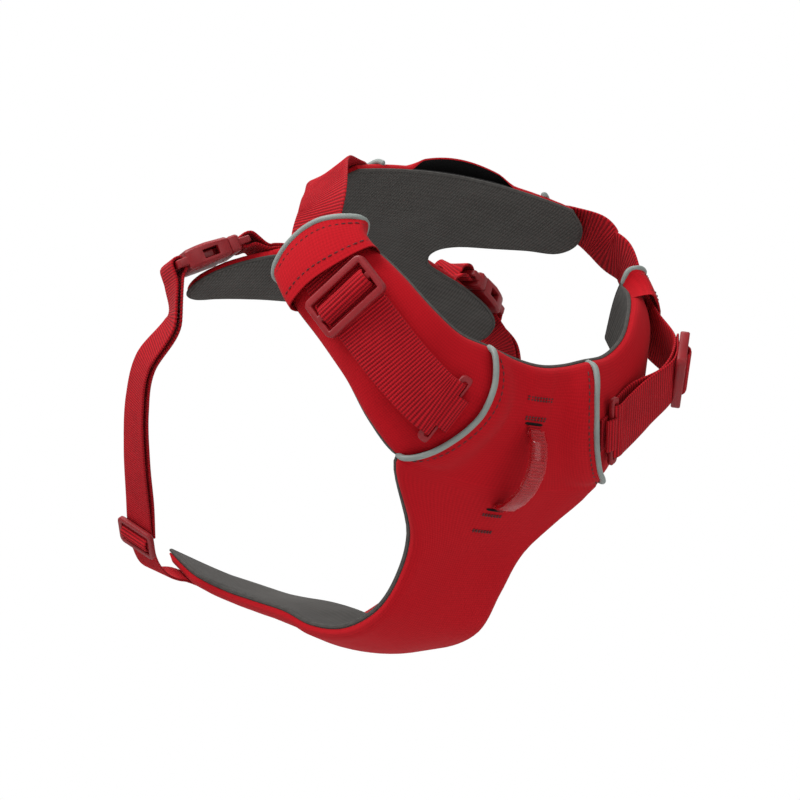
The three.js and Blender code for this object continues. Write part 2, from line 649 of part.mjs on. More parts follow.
const buckleFrames = {};
for (const [name, side] of SIDES) {
  const { from, to, out } = BUCKLE[name];
  const xAxis = to.clone().sub(from).normalize();
  const yAxis = out.clone().cross(xAxis).normalize();
  const zAxis = xAxis.clone().cross(yAxis);
  const local = (x, y, z) => from.clone().addScaledVector(xAxis, x)
    .addScaledVector(yAxis, y).addScaledVector(zAxis, z);
  buckleFrames[name] = { local, xAxis, yAxis, zAxis };
  const put = (node, geometry) => place(add(node, geometry, 'plastic'), from, xAxis, yAxis, zAxis);
  put(`male_clip_${name}`, maleClip());
  put(`front_prong_${name}`, prong(yAxis.x > 0 ? 1 : -1));
  put(`rear_prong_${name}`, prong(yAxis.x > 0 ? -1 : 1));
  put(`female_socket_${name}`, femaleSocket());

  // webbing from the wing, through the male clip and back
  const [u, v] = TAB_SEWN[name];
  const sewn = [[-0.07, 0], [0, 0], [0.05, 0.6]].map(([step, rise]) => (
    onBack(u, v + side * step, ON_SHELL + WEB / 2 + 0.4 + rise)));
  const folded = [[0.05, 3.2], [0, LAYER + 0.2], [-0.06, LAYER + 0.1]].map(([step, rise]) => (
    onBack(u, v + side * step, ON_SHELL + WEB / 2 + 0.4 + rise)));
  const round = [[-3, -3.7], [2.4, -3.1], [4.4, -1.6], [4.5, 0], [4.4, 1.6], [2.4, 3.1], [-3, 3]];
  const centres = [...sewn.map((p) => p.point), ...round.map(([x, z]) => local(x, 0, z)),
    ...folded.map((p) => p.point)];
  const flat = (p) => flatOn(p, yAxis);
  const acrosses = [...sewn.map(flat), ...round.map(() => yAxis), ...folded.map(flat)];
  add(`buckle_tab_${name}`, strap(centres, acrosses, GIRTH_WEB), 'webbing');
}

// ---------- girth straps and their sliders ----------

// Hand-laid centre lines from below the buckle to the belly panel, with the direction that
// faces away from the dog at each point.
const GIRTH_RUN = {
  right: [
    [V(-56.5, -106.5, 40), V(-0.2, -0.95, 0.2)], [V(-75, -113, 19), V(-0.1, -1, 0)],
    [V(-90, -109, -1), V(0, -1, -0.1)], [V(-107, -99, -25), V(0, -0.95, -0.3)],
    [V(-124, -87, -46), V(0, -0.9, -0.45)], [V(-138, -77, -62), V(0, -0.85, -0.55)],
    [V(-148, -68, -71), V(0, -0.8, -0.6)], [V(-157, -57, -77), V(-0.1, -0.6, -0.8)],
    [V(-163, -46, -78.5), V(-0.3, -0.35, -0.9)], [V(-167, -35, -78), V(-0.45, -0.25, -0.86)],
    [V(-167, -22, -81.5), V(-0.45, -0.25, -0.86)],
  ],
  left: [
    [V(-54, 112, 51), V(-0.1, 0.98, 0.1)], [V(-58, 116, 24), V(0, 1, 0)],
    [V(-73, 118, -6), V(0, 1, 0)], [V(-92, 116, -34), V(0, 1, -0.1)],
    [V(-112, 108, -60), V(0, 0.95, -0.3)], [V(-130, 98, -80), V(0, 0.85, -0.5)],
    [V(-144, 86, -93), V(0, 0.75, -0.65)], [V(-157, 71, -101), V(0, 0.5, -0.85)],
    [V(-167, 53, -100), V(0, 0.2, -1)], [V(-174, 34, -95), V(0, -0.1, -1)],
    [V(-176, 18, -90), V(0, -0.25, -1)],
  ],
};
const INNER_STEP = 3.2;        // how far the inner layer lies inside the outer one
const SLIDER_AT = 5;           // place in the list that the slider lies over

function girthStrap(name) {
  const { local, yAxis } = buckleFrames[name];
  const run = GIRTH_RUN[name];
  const ways = run.map(([point], i) => {
    const next = run[Math.min(i + 1, run.length - 1)][0];
    const before = run[Math.max(i - 1, 0)][0];
    return next.clone().sub(before).normalize();
  });
  const outs = run.map(([, out], i) => out.clone()
    .addScaledVector(ways[i], -out.dot(ways[i])).normalize());
  const acrosses = run.map((_, i) => ways[i].clone().cross(outs[i]).normalize());
  if (acrosses[0].dot(yAxis) < 0) acrosses.forEach((across) => across.multiplyScalar(-1));
  const inner = [];
  for (let i = SLIDER_AT - 1; i >= 0; i -= 1) {
    inner.push({ point: run[i][0].clone().addScaledVector(outs[i], -INNER_STEP), across: acrosses[i] });
  }
  const turn = [
    [42, -5.6], [39.5, -3.4], [38.7, 0], [39.6, 3.1],
    [42.5, 3.9], [45.5, 2.2], [46.3, -2.5], [46.8, -7],
  ].map(([x, z]) => ({ point: local(x, 0, z), across: yAxis }));
  const outer = run.map(([point], i) => ({ point, across: acrosses[i] }));
  const all = [...inner, ...turn, ...outer];
  add(`girth_strap_${name}`, strap(all.map((p) => p.point), all.map((p) => p.across), GIRTH_WEB),
    'webbing');
  return { at: run[SLIDER_AT][0], out: outs[SLIDER_AT], way: ways[SLIDER_AT] };
}

for (const [name] of SIDES) {
  const { at, out, way } = girthStrap(name);
  const height = WEB / 2 + 0.6 + GIRTH_SLIDER.thick / 2;
  const centre = at.clone().addScaledVector(out, height);
  const xAxis = way.clone().cross(out).normalize();
  const { width, length, thick, bar: middle } = GIRTH_SLIDER;
  place(add(`girth_slider_${name}`, sliderPlate(width, length, thick, middle), 'plastic'),
    centre, xAxis, way, out.clone());
  place(add(`girth_slider_wrap_${name}`, sliderWrap(GIRTH_WEB - 0.2, middle, thick), 'webbing'),
    centre, xAxis, way, out.clone());
}

// ---------- leash loop on the chest ----------

const LOOP_WEB = 7;
const LOOP_LINE = [V(113.4, 0, -31), V(116, 0, -35.5), V(117.5, 0, -42), V(116, 0, -52), V(109.5, 0, -61),
  V(100, 0, -66.5), V(90, 0, -68.5), V(83, 0, -67)];
const loopAcross = LOOP_LINE.map(() => V(0, 1, 0));
add('leash_loop_webbing', strap(LOOP_LINE, loopAcross, LOOP_WEB), 'webbing');

function loopSleeve() {
  const path = through(LOOP_LINE);
  const points = [];
  const start = 0.12;
  for (let i = 0; i <= 8; i += 1) points.push(path.getPoint(start + ((1 - 2 * start) * i) / 8));
  const halfWide = LOOP_WEB / 2 + 0.7;
  const halfThick = WEB / 2 + 0.8;
  const wall = 0.8;
  const steps = 14;
  const line = through(points);
  const ring = (grow, t) => {
    const centre = line.getPoint(t);
    const way = line.getTangent(t);
    const side = V(0, 1, 0);
    const out = side.clone().cross(way).normalize();
    const corners = [[-1, -0.5], [-1, 0.5], [-0.6, 1], [0.6, 1], [1, 0.5], [1, -0.5], [0.6, -1], [-0.6, -1]];
    return corners.map(([y, z]) => centre.clone().addScaledVector(side, y * (halfWide + grow))
      .addScaledVector(out, z * (halfThick + grow)));
  };
  // rings down the outside, then back up the inside, closed on themselves both ways
  const rings = [];
  for (let i = 0; i <= steps; i += 1) rings.push(ring(wall, i / steps));
  for (let i = steps; i >= 0; i -= 1) rings.push(ring(0, i / steps));
  const vertices = rings.flat().flatMap((p) => [p.x, p.y, p.z]);
  const faces = [];
  const sides = rings[0].length;
  rings.forEach((_, i) => {
    const next = (i + 1) % rings.length;
    for (let j = 0; j < sides; j += 1) {
      const k = (j + 1) % sides;
      const [a, b, c, d] = [i * sides + j, i * sides + k, next * sides + k, next * sides + j];
      faces.push(a, b, c, a, c, d);
    }
  });
  const geometry = new THREE.BufferGeometry();
  geometry.setAttribute('position', new THREE.Float32BufferAttribute(vertices, 3));
  geometry.setIndex(faces);
  return geometry;
}
add('leash_loop_sleeve', loopSleeve(), 'sleeve');

// ---------- leash ring on the back ----------

const RING_PIVOT_HEIGHT = ON_SHELL + WEB + 2.9;
const pivot = onBack(0.53, 0.5, RING_PIVOT_HEIGHT);

// The outline that a band would take round circles given anticlockwise, each grown by a margin.
function bandOutline(circles, margin, Kind) {
  const shape = new Kind();
  const count = circles.length;
  const leave = circles.map(([x, y, r], i) => {
    const [nx, ny, nr] = circles[(i + 1) % count];
    const reach = Math.hypot(nx - x, ny - y);
    return Math.atan2(ny - y, nx - x) - Math.acos((r - nr) / reach);
  });
  circles.forEach(([x, y, r], i) => {
    shape.absarc(x, y, r + margin, leave[(i + count - 1) % count], leave[i], false);
  });
  return shape;
}
const RING_CORNERS = [[-1.75, -12.4, 1.2], [-1.75, 12.4, 1.2], [-23.75, 0, 5]];

const ringOutline = bandOutline(RING_CORNERS, 2, THREE.Shape);
ringOutline.holes.push(bandOutline(RING_CORNERS, -0.9, THREE.Path));
place(add('leash_ring', plate(ringOutline, 3.6, 0.8, 3), 'alloy'),
  pivot.point, pivot.toRear.clone().multiplyScalar(-1), pivot.toLeft, pivot.up);

const keeperLine = [[-16, 0], [-9, 0], [-5.8, 1.6], [-4.4, 4.4], [-2.2, 7], [0, 7.6], [2.2, 7],
  [4.4, 4.4], [5.8, 1.6], [8.5, 0], [11.5, 0]]
  .map(([along, rise]) => pivot.point.clone().addScaledVector(pivot.toRear, along)
    .addScaledVector(pivot.up, rise + INNER - RING_PIVOT_HEIGHT));
add('leash_ring_webbing', strap(keeperLine, keeperLine.map(() => pivot.toLeft), 16), 'webbing');

harness.position.z = -WITHERS;

export default harness;
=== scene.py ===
import math

import bmesh
import bpy
import numpy as np
from mathutils import Matrix, Vector, kdtree, noise
from mathutils.bvhtree import BVHTree


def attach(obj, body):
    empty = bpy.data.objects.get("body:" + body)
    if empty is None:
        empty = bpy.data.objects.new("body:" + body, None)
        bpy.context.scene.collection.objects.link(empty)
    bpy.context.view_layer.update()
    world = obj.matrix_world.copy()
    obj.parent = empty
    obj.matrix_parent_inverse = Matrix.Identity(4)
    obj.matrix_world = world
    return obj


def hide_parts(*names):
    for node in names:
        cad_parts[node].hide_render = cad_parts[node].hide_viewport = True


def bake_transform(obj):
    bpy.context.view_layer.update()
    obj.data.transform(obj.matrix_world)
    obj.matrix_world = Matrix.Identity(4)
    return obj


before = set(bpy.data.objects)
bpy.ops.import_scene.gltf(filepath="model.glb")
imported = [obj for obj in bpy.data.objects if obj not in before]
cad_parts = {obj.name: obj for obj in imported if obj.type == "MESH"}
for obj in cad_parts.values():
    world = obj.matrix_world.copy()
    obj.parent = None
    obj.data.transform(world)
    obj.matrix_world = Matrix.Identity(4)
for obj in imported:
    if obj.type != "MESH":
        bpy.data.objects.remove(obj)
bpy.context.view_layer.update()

MM = 0.001
WITHERS = 90.0          # the lists below are measured from a point this far under the origin
HARNESS = "harness"

# ---------- camera ----------

VIEW_TURN, VIEW_LIFT = math.radians(55), math.radians(-11)
VIEW_DISTANCE = 1.342
FOCAL_LENGTH = 114.74
right = Vector((math.cos(VIEW_TURN), math.sin(VIEW_TURN), 0))
back = Vector((math.sin(VIEW_TURN) * math.cos(VIEW_LIFT),
               -math.cos(VIEW_TURN) * math.cos(VIEW_LIFT), math.sin(VIEW_LIFT)))
up = back.cross(right)
target = Vector((0, 0, -WITHERS * MM))
camera = bpy.data.objects.new("camera", bpy.data.cameras.new("camera"))
camera.data.lens = FOCAL_LENGTH
camera.data.sensor_width = 36
camera.data.clip_end = 60
camera.matrix_world = Matrix((
    (right.x, up.x, back.x, target.x + back.x * VIEW_DISTANCE),
    (right.y, up.y, back.y, target.y + back.y * VIEW_DISTANCE),
    (right.z, up.z, back.z, target.z + back.z * VIEW_DISTANCE),
    (0, 0, 0, 1)))
bpy.context.scene.collection.objects.link(camera)
bpy.context.scene.camera = camera

# ---------- finishes ----------


def linear(colour):
    """The linear colour of an sRGB hex string."""
    parts = [int(colour[i:i + 2], 16) / 255 for i in (0, 2, 4)]
    return (*[c / 12.92 if c <= 0.04045 else ((c + 0.055) / 1.055) ** 2.4 for c in parts], 1)


def add(tree, kind, inputs=None, **settings):
    """A shader node with its settings, and its inputs as values or as links."""
    made = tree.nodes.new(kind)
    for key, value in settings.items():
        setattr(made, key, value)
    for key, value in (inputs or {}).items():
        if isinstance(value, bpy.types.NodeSocket):
            tree.links.new(value, made.inputs[key])
        else:
            made.inputs[key].default_value = value
    return made


def finish(name, **sockets):
    """A material with one Principled shader, set by socket name."""
    made = bpy.data.materials.new(name)
    made.use_nodes = True
    tree = made.node_tree
    tree.nodes.clear()
    shader = add(tree, "ShaderNodeBsdfPrincipled", {k.replace("_", " "): v for k, v in sockets.items()})
    add(tree, "ShaderNodeOutputMaterial", {"Surface": shader.outputs[0]})
    return made, tree, shader


# a wave's bands repeat every 0.31416 units at scale 1, so this over a pitch in metres is its scale
BAND = 0.31416


def woven(name, light, dark, along, across, depth, roughness, ribs=0.5, patch=0.02, slub=0.35, cloud=0.4):
    """Cloth whose threads cross at two pitches in metres, with uneven dyeing, and with painted shade in the
    grooves between the threads.

    Ribs says how much of the relief lies across the length, and cloud how uneven the colour is.
    """
    made, tree, shader = finish(name, Roughness=roughness, Sheen_Weight=0.03, Sheen_Roughness=0.5,
                                Specular_IOR_Level=0.1)
    place = add(tree, "ShaderNodeUVMap").outputs[0]
    warp = add(tree, "ShaderNodeTexWave", {"Vector": place, "Scale": BAND / along, "Distortion": slub,
                                           "Detail": 1.0, "Detail Scale": 1.5}, bands_direction="X")
    weft = add(tree, "ShaderNodeTexWave", {"Vector": place, "Scale": BAND / across, "Distortion": slub,
                                           "Detail": 1.0, "Detail Scale": 1.5}, bands_direction="Y")
    less = add(tree, "ShaderNodeMath", {0: weft.outputs["Fac"], 1: 1 - ribs}, operation="MULTIPLY")
    relief = add(tree, "ShaderNodeMath", {0: warp.outputs["Fac"], 1: ribs, 2: less.outputs[0]},
                 operation="MULTIPLY_ADD")
    space = add(tree, "ShaderNodeTexCoord").outputs["Object"]
    dye = add(tree, "ShaderNodeTexNoise", {"Vector": space, "Scale": 1 / patch, "Detail": 4.0})
    # the colour follows the relief as well as the dye: painted shade darkens the grooves between the threads
    dye_and_groove_shade = add(tree, "ShaderNodeMath", {0: dye.outputs["Fac"], 1: cloud, 2: relief.outputs[0]},
                operation="MULTIPLY_ADD")
    tone = add(tree, "ShaderNodeMapRange", {"Value": dye_and_groove_shade.outputs[0], "From Min": 0.05 + cloud / 2,
                                            "From Max": 0.95 + cloud / 2})
    colour = add(tree, "ShaderNodeMix", {"Factor": tone.outputs[0], 6: linear(dark), 7: linear(light)},
                 data_type="RGBA")
    bump = add(tree, "ShaderNodeBump", {"Height": relief.outputs[0], "Distance": depth, "Strength": 0.7})
    tree.links.new(colour.outputs[2], shader.inputs["Base Color"])
    tree.links.new(bump.outputs[0], shader.inputs["Normal"])
    return made


# Softshell polyester, plain woven and matt: an even deep red whose threads only just show.
# The threads are drawn at 1.3 mm, coarser than the real 0.3 mm, so that they show at all.
shell_cloth = woven("woven_polyester_shell", "B8111D", "A80E19", 0.0013, 0.0013, 0.00005, 0.85)
# Spacer mesh against the coat: charcoal knit with a soft nap and fine courses across it.
lining_cloth = woven("spacer_mesh_lining", "5B5956", "474543", 0.0034, 0.0018, 0.00012, 0.95,
                     ribs=0.25, slub=0.8, patch=0.015, cloud=0.8)
# Flat nylon webbing: ribs across its length with painted shade in the grooves, and fainter yarns along it.
web_cloth = woven("nylon_webbing", "C01622", "700A13", 0.0017, 0.0011, 0.00022, 0.7,
                  ribs=0.75, patch=0.012, slub=0.3)
# Narrow nylon webbing, the same yarn in a finer rib.
fine_web_cloth = woven("narrow_nylon_webbing", "BE1521", "7C0A14", 0.0015, 0.0010, 0.00014, 0.7,
                       ribs=0.75, patch=0.012, slub=0.3)
# Painted shade: near-black cloth put in the pocket and in the slits, where little light reaches.
painted_shade_cloth = woven("painted_shade_inner_cloth", "1D1B1C", "151415", 0.0012, 0.0012, 0.00005, 0.95)


def moulded(name, colour, roughness, grain, depth, **sockets):
    """A moulded part: one colour with the fine grain that its tool leaves."""
    made, tree, shader = finish(name, Roughness=roughness, **sockets)
    space = add(tree, "ShaderNodeTexCoord").outputs["Object"]
    spark = add(tree, "ShaderNodeTexNoise", {"Vector": space, "Scale": 1 / grain, "Detail": 3.0})
    rub = add(tree, "ShaderNodeTexNoise", {"Vector": space, "Scale": 90.0, "Detail": 3.0})
    tone = add(tree, "ShaderNodeMapRange", {"Value": rub.outputs["Fac"], "From Min": 0.3, "From Max": 0.7,
                                            "To Min": 0.86, "To Max": 1.06})
    base = linear(colour)
    tint = add(tree, "ShaderNodeMix", {"Factor": 1.0, 6: base, 7: tone.outputs[0]},
               data_type="RGBA", blend_type="MULTIPLY")
    wear = add(tree, "ShaderNodeMapRange", {"Value": rub.outputs["Fac"], "From Min": 0.3, "From Max": 0.7,
                                            "To Min": roughness - 0.06, "To Max": roughness + 0.08})
    bump = add(tree, "ShaderNodeBump", {"Height": spark.outputs["Fac"], "Distance": depth, "Strength": 0.5})
    tree.links.new(tint.outputs[2], shader.inputs["Base Color"])
    tree.links.new(wear.outputs[0], shader.inputs["Roughness"])
    tree.links.new(bump.outputs[0], shader.inputs["Normal"])
    return made


# Acetal, injection moulded: satin, with soft highlights on its rounded edges.
buckle_plastic = moulded("moulded_acetal", "8E0D17", 0.46, 0.0006, 0.00003, IOR=1.48)
# Reflective trim: grey tape with glass beads, folded over a cord. It gives a soft even shine.
trim_tape = moulded("glass_bead_trim", "848D88", 0.5, 0.0004, 0.00004, IOR=1.5, Sheen_Weight=0.1)
# Bonded nylon thread, a shade darker than the cloth it sews.
thread = moulded("bonded_nylon_thread", "560C12", 0.6, 0.0004, 0.00002, IOR=1.5)
# Cast and tumbled aluminium alloy: pale, satin, with small pits.
ring_alloy = moulded("tumbled_aluminium_alloy", "B4B6B9", 0.3, 0.0008, 0.00004, Metallic=1.0)

# Clear vinyl tube: glossy, tinted by the webbing inside it, which shows through.
clear_vinyl, vinyl_tree, vinyl_shader = finish(
    "clear_vinyl_tube", Base_Color=linear("C0101C"), Roughness=0.05, IOR=1.5, Alpha=0.34,
    Coat_Weight=1.0, Coat_Roughness=0.03)
vinyl_space = add(vinyl_tree, "ShaderNodeTexCoord").outputs["Object"]
vinyl_wave = add(vinyl_tree, "ShaderNodeTexNoise", {"Vector": vinyl_space, "Scale": 120.0})
vinyl_bump = add(vinyl_tree, "ShaderNodeBump", {"Height": vinyl_wave.outputs["Fac"], "Distance": 0.00005,
                                                "Strength": 0.3})
vinyl_tree.links.new(vinyl_bump.outputs[0], vinyl_shader.inputs["Normal"])

# ---------- curves and surfaces ----------


def curve(points, places):
    """Points on a centripetal spline at places from 0 to 1, an equal share to each station."""
    p = np.asarray(points, float)
    last = len(p) - 1
    x = np.clip(np.atleast_1d(np.asarray(places, float)), 0, 1) * last
    i = np.minimum(x.astype(int), last - 1)
    w = (x - i)[:, None]
    b, c = p[i], p[i + 1]
    a = np.where((i > 0)[:, None], p[np.maximum(i - 1, 0)], 2 * p[0] - p[1])
    d = np.where((i + 2 <= last)[:, None], p[np.minimum(i + 2, last)], 2 * p[last] - p[last - 1])

    def reach(m, n):
        return (np.maximum(((n - m) ** 2).sum(1), 1e-8) ** 0.25)[:, None]

    da, db, dc = reach(a, b), reach(b, c), reach(c, d)
    start = ((b - a) / da - (c - a) / (da + db) + (c - b) / db) * db
    end = ((c - b) / db - (d - b) / (db + dc) + (d - c) / dc) * db
    return b + start * w + (3 * (c - b) - 2 * start - end) * w ** 2 + (2 * (b - c) + start + end) * w ** 3


def unit(v):
    v = np.asarray(v, float)
    return v / np.maximum(np.linalg.norm(v, axis=-1, keepdims=True), 1e-9)


class Place:
    """A point on a surface, with the directions along it, across it and out of it."""

    def __init__(self, rows, u, v, height):
        def at(a, b):
            return curve([curve(row, a)[0] for row in rows], b)[0]
        step = 0.01
        self.along = unit(at(min(u + step, 1), v) - at(max(u - step, 0), v))
        slant = at(u, min(v + step, 1)) - at(u, max(v - step, 0))
        self.normal = unit(np.cross(self.along, slant))
        self.across = unit(np.cross(self.normal, self.along))
        self.point = at(u, v) + self.normal * height


def grid(rows, us, vs):
    """Points of a patch, as [v][u]."""
    lines = np.array([curve(row, us) for row in rows])
    return np.array([curve(lines[:, i], vs) for i in range(len(us))]).transpose(1, 0, 2)


def quads_of(numbers):
    n = np.asarray(numbers)
    return np.stack([n[:-1, :-1], n[:-1, 1:], n[1:, 1:], n[1:, :-1]], -1).reshape(-1, 4)


def normals_of(points, quads):
    a, b, c, d = (points[quads[:, k]] for k in range(4))
    facing = np.cross(c - a, d - b)
    total = np.zeros_like(points)
    for k in range(4):
        np.add.at(total, quads[:, k], facing)
    return unit(total)


def rim_of(quads):
    """The directed edges that only one cell has."""
    seen = {}
    for q in quads:
        for k in range(4):
            a, b = int(q[k]), int(q[(k + 1) % 4])
            if (b, a) in seen:
                del seen[(b, a)]
            else:
                seen[(a, b)] = True
    return list(seen)


def distance_to(points, some):
    tree = kdtree.KDTree(len(some))
    for i, p in enumerate(some):
        tree.insert(Vector(p), i)
    tree.balance()
    return np.array([tree.find(Vector(p))[2] for p in points])


def rippled(points, size, seed):
    """Smooth unevenness from -1 to 1 at each point, with bumps about size mm across."""
    shift = Vector((seed * 17.3, seed * 5.1, seed * 9.7))
    return np.array([noise.noise(Vector(p) / size + shift) for p in points])


# ---------- pieces ----------

STRAP_STEP, ROPE_STEP, ROPE_SIDES, BINDING_SIDES = 0.3, 1.2, 14, 8
WEB = 1.4                                       # thickness of all webbing
STITCH, STITCH_GAP, STITCH_WIDE = 2.4, 0.9, 0.85
EDGE = 5.5              # how far in from a free edge the padding takes to reach its full height
MIDDLE = 2.7            # height of the seam at a free edge
BINDING, BINDING_HEIGHT = 1.9, MIDDLE - 1.5     # the rolled edge of lining, and its height there


def piece(name, points, faces, finishes, body=HARNESS, stands_for=(), slot=None, uvs=None,
          kinds=None, sharp=40):
    """A mesh piece from points in mm, riding on a body where one is given."""
    mesh = bpy.data.meshes.new(name)
    row = (np.asarray(points, float) - (0, 0, WITHERS)) * MM
    mesh.from_pydata([tuple(p) for p in row], [], [tuple(int(i) for i in f) for f in faces])
    for made in finishes:
        mesh.materials.append(made)
    if kinds is not None:
        mesh.polygons.foreach_set("material_index", np.asarray(kinds, np.int32))
    if uvs is not None:
        layer = mesh.uv_layers.new(name="UVMap")
        flat = np.asarray(uvs, float) * MM
        for loop in mesh.loops:
            layer.data[loop.index].uv = flat[loop.vertex_index]
    mesh.validate()
    obj = bpy.data.objects.new(name, mesh)
    bpy.context.scene.collection.objects.link(obj)
    mesh.shade_smooth()
    mesh.set_sharp_from_angle(angle=math.radians(sharp))
    if body:
        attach(obj, body)
    if stands_for:
        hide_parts(*stands_for)
    return obj


def skin(outer, inner, quads):
    """A closed body between two sheets of the same cells."""
    count = len(outer)
    faces = [tuple(q) for q in quads] + [tuple(int(i) + count for i in q[::-1]) for q in quads]
    faces += [(b, a, a + count, b + count) for a, b in rim_of(quads)]
    return np.vstack([outer, inner]), faces


def tube_faces(rings, sides, closed=False):
    """The faces round a row of rings of points, either capped at both ends or closed on itself."""
    faces = []
    for i in range(rings if closed else rings - 1):
        j = (i + 1) % rings
        for k in range(sides):
            n = (k + 1) % sides
            faces.append((i * sides + k, i * sides + n, j * sides + n, j * sides + k))
    if not closed:
        faces.append(tuple(range(sides - 1, -1, -1)))
        faces.append(tuple(range((rings - 1) * sides, rings * sides)))
    return faces


def reached(line):
    """How far along a line each of its points is, in mm."""
    return np.concatenate([[0], np.cumsum(np.linalg.norm(np.diff(line, axis=0), axis=1))])


def measured(points, probes):
    """Places along a curve and how far along it each one is."""
    places = np.linspace(0, 1, probes)
    return places, reached(curve(points, places))


# across half a strap: where its columns are, how thick it is there, and how much it is ribbed
SELVAGE = [(0, 0.92, 1), (0.3, 0.92, 1), (0.6, 0.92, 1), (0.82, 0.94, 1), (0.93, 1, 0.5), (0.985, 0.75, 0),
           (1, 0.25, 0)]
STRAP_COLUMNS = np.array([(-c, s, r) for c, s, r in SELVAGE[:0:-1]] + SELVAGE).T


def ribbon(name, centres, acrosses, width, finish_, rib=0.0, pitch=1.7, **extra):
    """A flat strap along a curve, with cross ribs in its shape and rounded selvages."""
    probes, lengths = measured(centres, 400)
    count = max(int(lengths[-1] / STRAP_STEP), 8)
    run = np.linspace(0, lengths[-1], count + 1)
    places = np.interp(run, lengths, probes)
    line = curve(centres, places)
    way = unit(np.gradient(line, axis=0))
    side = curve(acrosses, places)
    side = unit(side - way * (side * way).sum(1, keepdims=True))
    out = np.cross(side, way)
    columns, swell, ribbed = STRAP_COLUMNS
    wave = -np.cos(2 * np.pi * run / pitch)
    points, uvs = [], []
    for i in range(count + 1):
        height = WEB / 2 * swell + rib * ribbed * wave[i]
        for sign in (1, -1):
            for k in range(len(columns))[::sign]:
                points.append(line[i] + side[i] * columns[k] * width / 2 + out[i] * sign * height[k])
                uvs.append((run[i], columns[k] * width / 2))
    return piece(name, points, tube_faces(count + 1, 2 * len(columns)), [finish_], uvs=uvs, sharp=60, **extra)


def rope(name, points, diameter, finish_, normals, **extra):
    """A round cord along a line, drawn in a little at its ends."""
    probes, lengths = measured(points, 300)
    count = max(int(lengths[-1] / ROPE_STEP), 8)
    places = np.linspace(0, 1, count + 1)
    line = curve(points, places)
    way = unit(np.gradient(line, axis=0))
    side = unit(np.cross(curve(normals, places), way))
    out = np.cross(way, side)
    ring, uvs = [], []
    for i in range(count + 1):
        closing = min(1, 0.55 + 0.45 * min(i, count - i))
        for k in range(ROPE_SIDES):
            angle = 2 * math.pi * k / ROPE_SIDES
            grow = diameter / 2 * closing
            ring.append(line[i] + side[i] * math.cos(angle) * grow + out[i] * math.sin(angle) * grow)
            uvs.append((i * ROPE_STEP, k * diameter / 4))
    return piece(name, ring, tube_faces(count + 1, ROPE_SIDES), [finish_], uvs=uvs, **extra)


def stitches(name, runs, long=STITCH, gap=STITCH_GAP, wide=STITCH_WIDE):
    """Rows of sewn stitches as one mesh. Each run is a line of points and the outward directions."""
    points, faces = [], []
    for line, outs in runs:
        probes, lengths = measured(line, 300)
        count = max(int(lengths[-1] / (long + gap)), 1)
        for n in range(count):
            middle = (n + 0.5) * lengths[-1] / count
            stops = np.interp([middle - long / 2, middle, middle + long / 2], lengths, probes)
            centre, out = curve(line, stops), unit(curve(outs, stops))
            way = unit(centre[2] - centre[0])
            side = np.cross(out, way)
            first = len(points)
            for k, (grow, lift) in enumerate(((0.45, 0.02), (1, 0.3), (0.45, 0.02))):
                for s, o in ((1, 0), (0, 0.8), (-1, 0), (0, -0.5)):
                    points.append(centre[k] + side[k] * s * wide / 2 * grow
                                  + out[k] * (o * wide / 2 * grow + lift * wide))
            for k in range(2):
                for m in range(4):
                    a, b = first + 4 * k + m, first + 4 * k + (m + 1) % 4
                    faces.append((a, b, b + 4, a + 4))
            faces.append((first + 3, first + 2, first + 1, first))
            faces.append((first + 8, first + 9, first + 10, first + 11))
    return piece(name, points, faces, [thread], slot="webbing", sharp=70)


def binding(name, points, normals, quads):
    """A rolled edge of lining along the free edge of a panel."""
    follows = dict(rim_of(quads))
    first = next(iter(follows))
    loop = [first]
    while follows[loop[-1]] != first:
        loop.append(follows[loop[-1]])
    up_ = normals[loop]
    line = points[loop] + up_ * BINDING_HEIGHT
    way = unit(np.roll(line, -1, 0) - np.roll(line, 1, 0))
    out = unit(np.cross(way, up_))
    line = line + out * BINDING * 0.2
    ring, uvs = [], []
    for i in range(len(line)):
        for k in range(BINDING_SIDES):
            angle = 2 * math.pi * k / BINDING_SIDES
            ring.append(line[i] + (out[i] * math.cos(angle) + up_[i] * math.sin(angle)) * BINDING / 2)
            uvs.append((i * 1.5, k * BINDING / 3))
    faces = tube_faces(len(line), BINDING_SIDES, closed=True)
    return piece(name, ring, faces, [lining_cloth], uvs=uvs, slot="lining")


surfaces = {}


def on_cloth(name, points, lift=0.0):
    """Points moved to the nearest place on a cloth's outer side, and that side's directions."""
    found = [surfaces[name].find_nearest(Vector(p)) for p in points]
    outs = [np.array(f[1]) for f in found]
    return [np.array(f[0]) + o * lift for f, o in zip(found, outs)], outs


def hard(node, body, bevel, finish_=buckle_plastic, shape=None):
    """A moulded part: the CAD solid with its edges rounded."""
    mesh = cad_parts[node].data.copy()
    mesh.name = node + "_moulding"
    work = bmesh.new()
    work.from_mesh(mesh)
    bmesh.ops.remove_doubles(work, verts=work.verts, dist=1e-5)
    bmesh.ops.dissolve_limit(work, angle_limit=math.radians(1.5), verts=work.verts, edges=work.edges)
    if shape:
        for v in work.verts:
            v.co = shape(v.co)
    work.to_mesh(mesh)
    work.free()
    mesh.materials.clear()
    mesh.materials.append(finish_)
    obj = bpy.data.objects.new(node + "_moulding", mesh)
    bpy.context.scene.collection.objects.link(obj)
    rounding = obj.modifiers.new("rounding", "BEVEL")
    rounding.width = bevel * MM
    rounding.segments = 2
    rounding.limit_method = "ANGLE"
    rounding.angle_limit = math.radians(35)
    rounding.use_clamp_overlap = True
    bpy.context.view_layer.update()
    made = bpy.data.meshes.new_from_object(obj.evaluated_get(bpy.context.evaluated_depsgraph_get()))
    obj.modifiers.clear()
    obj.data = made
    made.shade_smooth()
    made.set_sharp_from_angle(angle=math.radians(50))
    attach(obj, body)
    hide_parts(node)
    return obj


# ---------- the harness in mm, as in the CAD ----------

